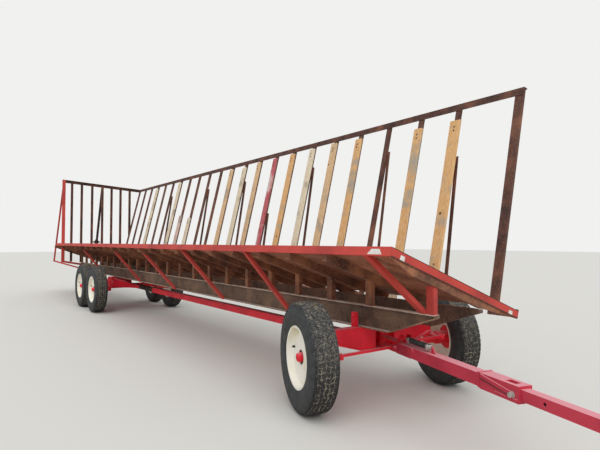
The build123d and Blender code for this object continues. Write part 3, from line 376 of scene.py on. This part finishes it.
# %% Small finishes
def cloudy_finish(name, pale, dark, roughness, metallic, size_mm=14):
    material, tree, place = new_material(name)
    cloud = add(tree, "TexNoise",
                {"Vector": place, "Scale": one_mm / size_mm, "Detail": 5.0, "Roughness": 0.6})
    colour = add(tree, "ValToRGB", {"Fac": cloud}, [(0.35, dark), (0.65, pale)])
    spread = (roughness, roughness + 0.25, cloud)
    return surface(tree, material, colour, spread, cloud, depth_mm=0.06, metallic=metallic)


zinc = cloudy_finish("zinc_plate_dulled", "D9DAD6", "A9AAA4", 0.34, 0.75)
spring_wire = cloudy_finish("spring_wire_oiled", "5C5D5C", "2B2C2D", 0.38, 0.7)
forged_steel = cloudy_finish("forging_worn", "7C6A5E", "453833", 0.5, 0.6, 26)
white_paint = cloudy_finish("patch_paint_white", "F2F1EC", "D8D6CD", 0.5, 0.0, 40)
print("small finishes:", zinc.name, spring_wire.name, forged_steel.name, white_paint.name)

# %% [markdown]
# ## Giving the CAD nodes their finish
# A node whose shape is right keeps its mesh and only changes material. Each one is listed,
# because a node that is forgotten would show as plain plastic. The planks, the spring and
# the tyres are replaced further on, so theirs is never seen.

# %% Finish the CAD nodes
nodes_of_finish = [
    (sill_steel, ["sills"]),
    (beam_steel, ["deck_beams", "beam_stubs"]),
    (sheet_steel, ["deck_floor"]),
    (rack_red, ["edge_rail", "outrigger_braces", "corner_post", "corner_brace"]),
    (rail_steel, ["far_rail", "wall_struts", "strut_feet"]),
    (bar_steel, ["wall_bars", "rear_bars"]),
    (top_steel, ["top_rails"]),
    (dark_pole, ["middle_brace", "reach_pole"]),
    (gear_red, ["front_axle", "reach_tube", "rear_axle", "walking_beams", "steer_head",
                "knuckle_near", "knuckle_far", "tie_rod_near", "tie_rod_far"]),
    (tongue_red, ["tongue_tube", "tongue_slider"]),
    (forged_steel, ["hitch_eye"]),
    (boards_tan, ["wall_planks"]),
    (spring_wire, ["lift_spring"]),
]
wheels = ["front_near", "front_far", "middle_near", "middle_far", "rear_near", "rear_far"]
for wheel in wheels:
    nodes_of_finish += [(wheel_cream, [f"rim_{wheel}"]), (gear_red, [f"hub_{wheel}"]),
                        (spring_wire, [f"tyre_{wheel}"])]
finished = set()
for material, names in nodes_of_finish:
    for name in names:
        mesh = cad_nodes[name].data
        mesh.materials.clear()
        mesh.materials.append(material)
        finished.add(name)
print("finished nodes:", len(finished), "left:", sorted(set(cad_nodes) - finished))

# %% [markdown]
# ## Settling a finished piece
# Every new piece is built where it is easy to build, moved into place, and then has that
# move written into its mesh, so that its object sits at the origin as a CAD node's does.
# What repeats is modelled once as a pattern, copied with a mesh of its own for each place,
# and the pattern is deleted. A place is given by a point, the way that the piece's Z faces,
# and roughly the way of its X. Those are easier to read off the wagon than three angles.


# %% Select, place, copy and join
def start():
    if bpy.context.object and bpy.context.object.mode == "EDIT":
        bpy.ops.object.mode_set(mode="OBJECT")
    bpy.ops.object.select_all(action="DESELECT")


def only(piece):
    start()
    piece.select_set(True)
    bpy.context.view_layer.objects.active = piece


def apply_place(piece, place=None):
    only(piece)
    if place is not None:
        piece.matrix_world = place @ piece.matrix_world
    bpy.ops.object.transform_apply(location=True, rotation=True, scale=True)


def copy_of(pattern, place):
    twin = pattern.copy()
    twin.data = pattern.data.copy()
    bpy.context.scene.collection.objects.link(twin)
    apply_place(twin, place)
    return twin


def joined(pieces):
    start()
    for piece in pieces:
        piece.select_set(True)
    bpy.context.view_layer.objects.active = pieces[0]
    bpy.ops.object.join()
    return bpy.context.object


def frame_of(origin, z_way, x_way):
    z_axis = Vector(z_way).normalized()
    y_axis = z_axis.cross(Vector(x_way)).normalized()
    x_axis = y_axis.cross(z_axis)
    turn = Matrix((x_axis, y_axis, z_axis)).transposed().to_4x4()
    return Matrix.Translation(origin) @ turn


# %% [markdown]
# A finished piece is named and given its finish. It is also tied to the body that carries it.
# Its size is printed, so that a slip of a decimal point shows at once.


def settle(piece, name, body, material=None):
    piece.name = name
    piece.data.name = name
    if material is not None:
        piece.data.materials.clear()
        piece.data.materials.append(material)
    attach(piece, body)
    low = [min(v.co[i] for v in piece.data.vertices) for i in range(3)]
    high = [max(v.co[i] for v in piece.data.vertices) for i in range(3)]
    size = [round((b - a) * 1000) for a, b in zip(low, high)]
    print(f"{name}: {size} mm, {len(piece.data.polygons)} faces")
    return piece


# %% [markdown]
# Three shapes come back again and again: a ring spun from a section, a plain block, and a
# block whose edges are eased. A section is a list of points, each with its distance along
# the axis and its radius. Real steel and timber have no sharp edge, and an eased one catches
# a line of light.


# %% Spin, block and ease
def lathe(profile, steps):
    start()
    bpy.ops.mesh.primitive_circle_add(vertices=len(profile), radius=1.0)
    turned = bpy.context.object
    for vertex, (along, radius) in zip(turned.data.vertices, profile):
        vertex.co = (radius, 0.0, along)
    bpy.ops.object.mode_set(mode="EDIT")
    bpy.ops.mesh.select_all(action="SELECT")
    bpy.ops.mesh.spin(steps=steps, angle=2 * math.pi, center=(0, 0, 0), axis=(0, 0, 1))
    bpy.ops.mesh.select_all(action="SELECT")
    bpy.ops.mesh.remove_doubles(threshold=0.00005)
    bpy.ops.mesh.normals_make_consistent(inside=False)
    bpy.ops.object.mode_set(mode="OBJECT")
    return turned


def block(size):
    start()
    bpy.ops.mesh.primitive_cube_add(size=1.0)
    piece = bpy.context.object
    piece.scale = size
    apply_place(piece)
    return piece


def ease(piece, width, segments):
    only(piece)
    bevel = piece.modifiers.new("eased", "BEVEL")
    bevel.width = width
    bevel.segments = segments
    bpy.ops.object.modifier_apply(modifier="eased")


def smooth(piece, degrees):
    only(piece)
    bpy.ops.object.shade_smooth_by_angle(angle=math.radians(degrees))


print("helpers ready: lathe, block, ease, smooth")

# %% [markdown]
# ## The tyres
# A tyre is a lathe shape with a block tread. The section is given for one half, as distance
# from the middle plane and radius, and mirrored, and then it is spun about the axle.

# %% Spin the tyre
tread_pitches = 66
half_profile = [(0.106, 0.2865), (0.1125, 0.301), (0.118, 0.304), (0.126, 0.322), (0.136, 0.355),
                (0.1395, 0.400), (0.1370, 0.440), (0.1285, 0.468), (0.1150, 0.485), (0.1075, 0.501),
                (0.096, 0.5115), (0.062, 0.5150), (0.020, 0.517)]
section = half_profile + [(-along, radius) for along, radius in reversed(half_profile)]
tyre = lathe(section, tread_pitches)
print("spun tyre:", len(tyre.data.polygons), "faces")

# %% [markdown]
# The grooves of such a tread zigzag. A picture of a tread as a bump would look flat at the
# edge of the tyre, so the points themselves are nudged: every other one around the tyre goes
# to one side, and every other row is turned ahead. The columns and rows are counted from a
# point's own angle and place, whatever its number in the mesh.

# %% Zigzag the tread
tread_pitch = 2 * math.pi / tread_pitches
crown_radius, tread_half_width = 0.514, 0.08
row_start, row_step = 0.062, 0.0413
zigzag, row_turn = 0.008, 0.19
for vertex in tyre.data.vertices:
    radius = math.hypot(vertex.co.x, vertex.co.y)
    if radius > crown_radius and abs(vertex.co.z) < tread_half_width:
        angle = math.atan2(vertex.co.y, vertex.co.x)
        column = round(angle / tread_pitch)
        row = round((row_start - vertex.co.z) / row_step)
        angle += tread_pitch * (row_turn if row % 2 else -row_turn)
        vertex.co.x, vertex.co.y = radius * math.cos(angle), radius * math.sin(angle)
        vertex.co.z += zigzag if column % 2 else -zigzag
print("tread pitch:", round(tread_pitch * crown_radius * 1000), "mm")

# %% [markdown]
# Then the tread's faces are inset one by one and pushed out, which leaves the grooves
# between them at the old surface.

# %% Raise the blocks
shoulder_radius = 0.492
groove_half, block_height = 0.0054, 0.009
bpy.ops.object.mode_set(mode="EDIT")
bpy.ops.mesh.select_mode(type="FACE")
bpy.ops.mesh.select_all(action="DESELECT")
edit = bmesh.from_edit_mesh(tyre.data)
for face in edit.faces:
    middle = face.calc_center_median()
    if math.hypot(middle.x, middle.y) > shoulder_radius:
        face.select = True
bmesh.update_edit_mesh(tyre.data)
bpy.ops.mesh.inset(thickness=groove_half, depth=block_height, use_individual=True)
bpy.ops.object.mode_set(mode="OBJECT")
smooth(tyre, 32)
print("tyre with tread:", len(tyre.data.polygons), "faces")

# %% [markdown]
# The one tyre is copied to the six wheels. Each wheel's place comes from its own joint, and
# its outer side from the side of the wagon it is on.

# %% Place the tyres
wheel_place = {}
for wheel in wheels:
    spin = joint[f"wheel_{wheel}_spin"]
    outward = Vector(spin["axis"]) * (-1 if wheel.endswith("near") else 1)
    centre = Vector(spin["pos_m"])
    wheel_place[wheel] = (centre, outward)
    rubber = tyre_rubber(f"tyre_rubber_{wheel}", centre, outward)
    piece = copy_of(tyre, frame_of(centre, outward, up))
    settle(piece, f"tread_{wheel}", f"wheel_{wheel}", rubber)
    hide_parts(f"tyre_{wheel}")
bpy.data.objects.remove(tyre)

# %% [markdown]
# ## Valve stems, seals and hub caps
# A valve stem stands through each dish, a pressed cap covers each bearing, and a dark ring
# lies round it. All three are small lathe shapes, built once and copied. The stem is seen as
# a dark stub, so it gets no thread.

# %% Valve stems, seals and caps
stem = lathe([(0.0, 0.0), (0.0, 0.0138), (0.006, 0.0138), (0.010, 0.0120), (0.025, 0.0112),
              (0.030, 0.008), (0.030, 0.0)], 16)
cap = lathe([(-0.012, 0.030), (-0.012, 0.0425), (0.006, 0.0425), (0.014, 0.040), (0.020, 0.033),
             (0.0245, 0.020), (0.026, 0.0)], 32)
seal = lathe([(0.0, 0.048), (0.0, 0.069), (0.006, 0.068), (0.009, 0.062), (0.006, 0.048)], 36)
smooth(seal, 35)
smooth(cap, 35)
stem_out, stem_up, stem_back = 0.062, 0.0645, 0.1872
seal_out, cap_out = 0.0542, 0.0878
for wheel, (centre, outward) in wheel_place.items():
    stem_foot = centre + outward * stem_out + up * stem_up + outward.cross(up) * stem_back
    fittings = [("valve", stem, stem_foot, "lift_spring", spring_wire),
                ("seal", seal, centre + outward * seal_out, f"hub_{wheel}", dark_pole),
                ("cap", cap, centre + outward * cap_out, f"hub_{wheel}", gear_red)]
    for kind, pattern, spot, slot_node, material in fittings:
        piece = copy_of(pattern, frame_of(spot, outward, up))
        settle(piece, f"{kind}_{wheel}", f"wheel_{wheel}", material)
for pattern in (stem, seal, cap):
    bpy.data.objects.remove(pattern)

# %% [markdown]
# ## The wall's boards
# Fourteen bars carry a board. The table gives each one's bar, its width, the gaps under and
# over it in millimetres, and its timber. Over the wheel bays the far rail is raised, so a
# board there starts higher. Sawn boards aren't straight-edged, and a plain block would look
# machined, so each is cut along its length, its points wander a little, and its corners are
# eased.

# %% Table of boards
plank_thick = 0.034
rail_face = 0.008
wall_top_z, top_rail_height = 3.382, 0.090
bay_rail_z, far_rail_height = 1.092, 0.092
wall_front_x, first_bar_gap = 0.686, 0.823
first_bar_x = wall_front_x - first_bar_gap
wall_height = (wall_top_z - wall_foot[1]) / math.cos(wall_lean)
bay_foot = (bay_rail_z - wall_foot[1]) / math.cos(wall_lean) + far_rail_height
board_table = [(0, 150, 30, 140, boards_orange), (1, 132, 30, 130, boards_orange),
               (3, 128, 560, 60, boards_orange), (4, 132, 30, 30, boards_tan),
               (5, 132, 30, 30, boards_pale), (6, 126, 30, 30, boards_orange),
               (7, 110, 30, 30, boards_red), (8, 124, 30, 30, boards_tan),
               (9, 130, 30, 60, boards_pale), (10, 124, 30, 30, boards_tan),
               (13, 130, 30, 1100, boards_pale), (14, 130, 30, 1000, boards_pink),
               (15, 128, 30, 40, boards_pale), (18, 124, 30, 60, boards_pale)]


def board_place(number, gap_mm, top_mm):
    over_bay = number == 0 or 12 < number < 17
    foot = gap_mm / 1000 + (bay_foot if over_bay else 0.0)
    top = wall_height - top_rail_height - top_mm / 1000
    return first_bar_x - number * bar_pitch, foot, top


print("boards:", len(board_table), "on a wall", round(wall_height, 3), "m high")

# %% Model the boards
board_cuts = 14
seed_step, cross_scale, long_scale = 7.3, 30, 3.1
edge_wander, end_wander = 0.02, 0.006
end_zone = 0.49
eased_edge = 0.0025
lean_turn = Matrix.Rotation(-wall_lean, 4, "X")
boards = []
for number, width_mm, gap_mm, top_mm, timber in board_table:
    x, foot, top = board_place(number, gap_mm, top_mm)
    length = top - foot
    board = block((width_mm / 1000, plank_thick, length))
    bpy.ops.object.mode_set(mode="EDIT")
    bpy.ops.mesh.select_mode(type="EDGE")
    bpy.ops.mesh.select_all(action="DESELECT")
    edit = bmesh.from_edit_mesh(board.data)
    for edge in edit.edges:
        way = edge.verts[0].co - edge.verts[1].co
        edge.select = abs(way.z) > length / 2
    bmesh.update_edit_mesh(board.data)
    bpy.ops.mesh.subdivide(number_cuts=board_cuts)
    bpy.ops.object.mode_set(mode="OBJECT")
    for vertex in board.data.vertices:
        seed = Vector((number * seed_step, vertex.co.x * cross_scale, vertex.co.z * long_scale))
        vertex.co.x *= 1 - edge_wander * abs(noise.noise(seed))
        if abs(vertex.co.z) > length * end_zone:
            shorter = end_wander * abs(noise.noise(seed * 3))
            vertex.co.z -= math.copysign(shorter, vertex.co.z)
    ease(board, eased_edge, 1)
    y, z = on_wall(foot + length / 2, rail_face - plank_thick / 2)
    apply_place(board, Matrix.Translation(at(x, y, z)) @ lean_turn)
    board.data.materials.append(timber)
    boards.append(board)
wall_boards = settle(joined(boards), "wall_boards", "chassis")
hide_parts("wall_planks")

# %% [markdown]
# ## The lift spring
# A close-wound spring holds the drawbar level. Stacked rings would do from afar, but a coil
# runs on from turn to turn. The Screw modifier winds it: a small circle of wire is carried
# round the axis and along it by a little more than one wire's width for each turn.

# %% Wind the spring
wire = 0.0074
spring_radius = 0.026
coil_radius = spring_radius - wire / 2
coil_pitch = wire * 1.02
spring_start, spring_end = 0.530, 0.880
spring_up = 0.096
start()
bpy.ops.mesh.primitive_circle_add(vertices=8, radius=wire / 2, location=(coil_radius, 0, 0),
                                  rotation=(math.pi / 2, 0, 0))
coil = bpy.context.object
apply_place(coil)
screw = coil.modifiers.new("wound", "SCREW")
screw.axis = "Z"
screw.steps = screw.render_steps = 18
screw.angle = 2 * math.pi
screw.screw_offset = coil_pitch
screw.iterations = int((spring_end - spring_start) / coil_pitch)
screw.use_merge_vertices = False
bpy.ops.object.modifier_apply(modifier="wound")
bpy.ops.object.mode_set(mode="EDIT")
bpy.ops.mesh.select_all(action="SELECT")
bpy.ops.mesh.fill_holes(sides=8)
bpy.ops.mesh.select_all(action="SELECT")
bpy.ops.mesh.normals_make_consistent(inside=False)
bpy.ops.object.mode_set(mode="OBJECT")
bpy.ops.object.shade_smooth()
apply_place(coil, frame_of(on_tongue(spring_start, 0, spring_up), ahead, up))
settle(coil, "spring_coil", "tongue", spring_wire)
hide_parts("lift_spring")

# %% [markdown]
# Each end of the spring is held by a zinc plug: a round head that steps down to a plain rod.

# %% The spring's plugs
plug = lathe([(0.0, 0.0), (0.0, 0.0215), (0.026, 0.0215), (0.030, 0.017), (0.030, 0.009),
              (0.058, 0.009), (0.058, 0.0)], 24)
plug_rear, plug_front = spring_start + 0.004, spring_end - 0.014
plugs = [copy_of(plug, frame_of(on_tongue(s, 0, spring_up), way, up))
         for s, way in ((plug_rear, -ahead), (plug_front, ahead))]
bpy.data.objects.remove(plug)
settle(joined(plugs), "spring_plugs", "tongue", zinc)

# %% [markdown]
# ## Bolts
# One hex bolt is modelled with its washer, its corners chamfered, and copied wherever it is
# needed: on the boards, the collar, the drawbar's cross pin and the stakes. A picture of a
# bolt would save faces, and a real one throws a shadow. The boards' bolts have gone brown,
# and those on the cross pin and the stakes are painted with the gear.

# %% Model a bolt
head_share, chamfer_share, washer_share = 0.62, 0.06, 1.28
washer_thick = 0.003


def hex_bolt(across_mm):
    across = across_mm / 1000
    radius = across / math.sqrt(3)
    height = across * head_share
    start()
    bpy.ops.mesh.primitive_cylinder_add(vertices=6, radius=radius, depth=height,
                                        location=(0, 0, height / 2 + washer_thick))
    head = bpy.context.object
    apply_place(head)
    ease(head, across * chamfer_share, 2)
    start()
    bpy.ops.mesh.primitive_cylinder_add(vertices=20, radius=radius * washer_share,
                                        depth=washer_thick, location=(0, 0, washer_thick / 2))
    washer = bpy.context.object
    apply_place(washer)
    return joined([head, washer])


def bolts(name, spots, across_mm, body, material=zinc):
    pattern = hex_bolt(across_mm)
    copies = [copy_of(pattern, frame_of(spot, way, ahead)) for spot, way in spots]
    bpy.data.objects.remove(pattern)
    return settle(joined(copies), name, body, material)


out_of_boards = Vector((0, -math.cos(wall_lean), math.sin(wall_lean)))
first_bolt, next_bolt = 0.09, 0.14
board_spots = []
for number, _, gap_mm, top_mm, _ in board_table:
    x, foot, top = board_place(number, gap_mm, top_mm)
    for v in (foot + first_bolt, foot + next_bolt, top - next_bolt, top - first_bolt):
        y, z = on_wall(v, rail_face - plank_thick)
        board_spots.append((at(x, y, z), out_of_boards))
bolts("board_bolts", board_spots, 13, "chassis", forged_steel)

# %% [markdown]
# The drawbar's bolts come in pairs, one on each side, and each stake on the front axle has
# two, one above the other.

# %% Bolts on the running gear
collar_bolt = (1.93, 0.059, -0.01)
cross_pin = (0.415, 0.072, 0)
stake_x, stake_out, stake_heights = -0.02, 0.3825, (0.80, 0.87)
sides = (-1, 1)
for name, (s, out, above), across_mm, material in (
        ("collar_bolts", collar_bolt, 36, zinc), ("cross_pin_nuts", cross_pin, 40, tongue_red)):
    spots = [(on_tongue(s, side * out, above), left * side) for side in sides]
    bolts(name, spots, across_mm, "tongue", material)
stake_spots = [(at(stake_x, side * stake_out, z), (0, side, 0))
               for side in sides for z in stake_heights]
bolts("stake_bolts", stake_spots, 24, "chassis", gear_red)

# %% [markdown]
# ## Straps on the collar
# The collar's sides are stiffened by flat straps: one slants down from its rear top edge to
# the bolt, and one runs level under it. A raised band closes the collar's rear end. They are
# bars between two points, with the side they face, because that is how a welder lays them.
# Under each slanting strap a thin dark bar stands for the shadow and dirt along it.

# %% Model the straps
eased_share = 0.22


def flat_bar(first, last, width, thick, out):
    bar = block(((last - first).length, width, thick))
    ease(bar, min(width, thick) * eased_share, 2)
    apply_place(bar, frame_of((first + last) / 2, out, last - first))
    return bar


def collar_bar(side, out, rear, front, width, thick):
    ends = [on_tongue(s, side * out, above) for s, above in (rear, front)]
    return flat_bar(*ends, width, thick, left * side)


band_s, band_half, band_top = 1.592, 0.062, 0.0615
band_width, band_thick = 0.020, 0.006
strap_table = [(0.0625, (1.615, 0.040), (1.925, -0.004), 0.030, 0.014),
               (0.0625, (1.76, -0.043), (1.985, -0.043), 0.026, 0.012),
               (band_top, (band_s, -0.052), (band_s, 0.058), band_width, band_thick)]
straps = [collar_bar(side, *row) for side in sides for row in strap_table]
straps.append(flat_bar(on_tongue(band_s, -band_half, band_top),
                       on_tongue(band_s, band_half, band_top), band_width, band_thick, up))
settle(joined(straps), "collar_straps", "tongue", tongue_red)
shades = [collar_bar(side, 0.0612, (1.615, 0.020), (1.925, -0.023), 0.011, 0.004) for side in sides]
settle(joined(shades), "collar_shade", "tongue", dark_pole)

# %% [markdown]
# The spring's two ends are gripped by pale clamps, a little wider than the coil.

# %% Model the spring's clamps
clamp_length, clamp_width, clamp_height = 0.040, 0.058, 0.054
clamp_up = spring_up - 0.003
clamp_starts = (spring_start, spring_end - 0.042)
clamps = [flat_bar(on_tongue(s, 0, clamp_up), on_tongue(s + clamp_length, 0, clamp_up),
                   clamp_width, clamp_height, up) for s in clamp_starts]
settle(joined(clamps), "spring_clamps", "tongue", zinc)

# %% [markdown]
# ## Edge highlights and edge shade
# Thin pale lines run along the toes of the sills' flanges: a painted highlight where light
# catches them. A pale tint in the material would spread over the whole flange, and a thin bar
# keeps it at the toe. The front rail has thin dark bars along its lower and upper edges, made
# the same way: painted shade along its flanges.

# %% Model the edge highlights and shades
sill_tip = 0.342
lip_width, lip_thick = 0.0105, 0.003
sill_rear, taper_start, sill_front = -12.96, 0.425, 0.978
top_toe, low_toe, nose_toe = 0.985, 0.765, 0.960
# Pale bars along the sills' flange toes: painted highlight.
sill_runs = [((sill_rear, top_toe), (sill_front, top_toe), toe_highlight),
             ((sill_rear, low_toe), (taper_start, low_toe), low_toe_highlight),
             ((taper_start, low_toe), (sill_front, nose_toe), low_toe_highlight)]
sill_lips = []
for side in sides:
    for (rear_x, rear_z), (front_x, front_z), material in sill_runs:
        lip = flat_bar(at(rear_x, side * sill_tip, rear_z), at(front_x, side * sill_tip, front_z),
                       lip_width, lip_thick, Vector((0, side, 0)))
        lip.data.materials.append(material)
        sill_lips.append(lip)
settle(joined(sill_lips), "sill_lips", "chassis")

rail_front_x, rail_near_u, rail_far_u = 0.9855, 0.004, 1.918
rail_shade_thick = 0.002
rail_edge_shades = []
# Thin dark bars on the front rail's lower and upper edges: painted shade of its flanges.
for w, width in ((-0.0105, 0.011), (0.0615, 0.005)):
    near_end, far_end = [at(rail_front_x, *on_deck(u, w)) for u in (rail_near_u, rail_far_u)]
    rail_edge_shades.append(flat_bar(near_end, far_end, width, rail_shade_thick, Vector((1, 0, 0))))
settle(joined(rail_edge_shades), "rail_edge_shades", "chassis", dark_pole)

# %% [markdown]
# ## Bracket on the middle brace
# A dark lump hangs on the middle brace at eye height. It is taken as a clamp with its plate.

# %% Model the bracket
brace_spot = at(-13.629, 0.332, 1.62)
brace_way = Vector((-0.3515, 0.0, -0.9362))
clamp_reach, wing_reach = 0.075, 0.105
clamp_section, wing_section = (0.112, 0.096), (0.070, 0.040)
brace_half = brace_way * clamp_reach
wing_half = Vector((0, wing_reach, 0))
clamp = flat_bar(brace_spot - brace_half, brace_spot + brace_half, *clamp_section, wing_half)
wing = flat_bar(brace_spot - wing_half, brace_spot + wing_half, *wing_section, brace_half)
settle(joined([clamp, wing]), "brace_clamp", "chassis", dark_pole)

# %% [markdown]
# ## White patches
# Small patches of white paint are left on the red rails and on the far sill. Each is a thin
# plate with its corners cut, lying on the steel. Noise in the red paint could make flakes,
# but not just where they are. The table gives place, facing, long side, length, height and
# how much of the length is left at the top.

# %% Patches
patch_thick = 0.001
rail_out = (0, -math.cos(deck_tilt), math.sin(deck_tilt))
down_deck = (0, math.cos(deck_tilt), -math.sin(deck_tilt))
patch_table = [
    (at(0.806, *on_deck(-0.008, 0.019)), rail_out, (1, 0, 0), 0.172, 0.047, 0.55),
    (at(0.985, *on_deck(0.1385, 0.014)), (1, 0, 0), down_deck, 0.060, 0.042, 0.8),
    (at(0.985, *on_deck(1.781, 0.013)), (1, 0, 0), down_deck, 0.070, 0.036, 0.9),
    (at(0.83, 0.313, 0.990), (0, 0, 1), (1, 0, 0), 0.10, 0.050, 0.9),
]
patches = []
for spot, way, along, length, height, top_share in patch_table:
    patch = block((length, height, patch_thick))
    for vertex in patch.data.vertices:
        if vertex.co.y > 0:
            vertex.co.x *= top_share
    apply_place(patch, frame_of(spot, way, along))
    patches.append(patch)
settle(joined(patches), "white_patches", "chassis", white_paint)

# %% [markdown]
# ## Floor, light and camera
# The wagon stands on a plain pale floor. A bright, even sky and one broad lamp light it as an
# overcast day does, so a colour renders about as it was written. The camera sees floor and
# sky a little paler than the wagon does, so the background is bright without more light on
# the paint.

# %% Floor
floor_size = 160.0
start()
bpy.ops.mesh.primitive_plane_add(size=floor_size)
floor = bpy.context.object
floor.name = "floor"
floor_paper, tree, _ = new_material("floor_paper")
camera_ray = add(tree, "LightPath").outputs["Is Camera Ray"]
paper = add(tree, "Mix", {"Factor": camera_ray, 6: "D2CDC2", 7: "DEDCD6"}, data_type="RGBA")
shader = add(tree, "BsdfPrincipled", {"Base Color": paper, "Roughness": 0.9})
add(tree, "OutputMaterial", {"Surface": shader})
floor.data.materials.append(floor_paper)
print("floor:", floor_size, "m each way")

# %% Sky and lamp
world = bpy.data.worlds.new("overcast")
bpy.context.scene.world = world
world.use_nodes = True
tree = world.node_tree
tree.nodes.clear()
camera_ray = add(tree, "LightPath").outputs["Is Camera Ray"]
sky = add(tree, "Mix", {"Factor": camera_ray, 6: "E4E6E8", 7: "F1F1F0"}, data_type="RGBA")
strength = add(tree, "MapRange", {"Value": camera_ray, "To Min": 0.78, "To Max": 1.0})
background = add(tree, "Background", {"Color": sky, "Strength": strength})
add(tree, "OutputWorld", {"Surface": background})
lamp_data = bpy.data.lights.new("soft_sun", "SUN")
lamp_data.energy = 1.5
lamp_data.angle = math.radians(70)
lamp = bpy.data.objects.new("soft_sun", lamp_data)
bpy.context.scene.collection.objects.link(lamp)
lamp.rotation_euler = (math.radians(38), 0.0, math.radians(60))
print("lamp:", lamp_data.energy, "over", round(math.degrees(lamp_data.angle)), "degrees")

# %% [markdown]
# The camera was found by matching the photograph's edges: at eye height, close to the
# drawbar, looking back along the wagon and a little upwards.

# %% Camera
camera_data = bpy.data.cameras.new("camera")
camera_data.lens = 29.52
camera_data.sensor_width = 36.0
camera_data.clip_end = 300.0
camera = bpy.data.objects.new("camera", camera_data)
bpy.context.scene.collection.objects.link(camera)
camera.location = at(3.7465, -3.7539, 1.6208)
turn_deg, rise_deg = 35.694, 1.967
camera.rotation_euler = (math.radians(90 + rise_deg), 0.0, math.radians(90 - turn_deg))
bpy.context.scene.camera = camera
bpy.context.scene.view_settings.view_transform = "Standard"
print("camera at", tuple(round(c, 2) for c in camera.location))
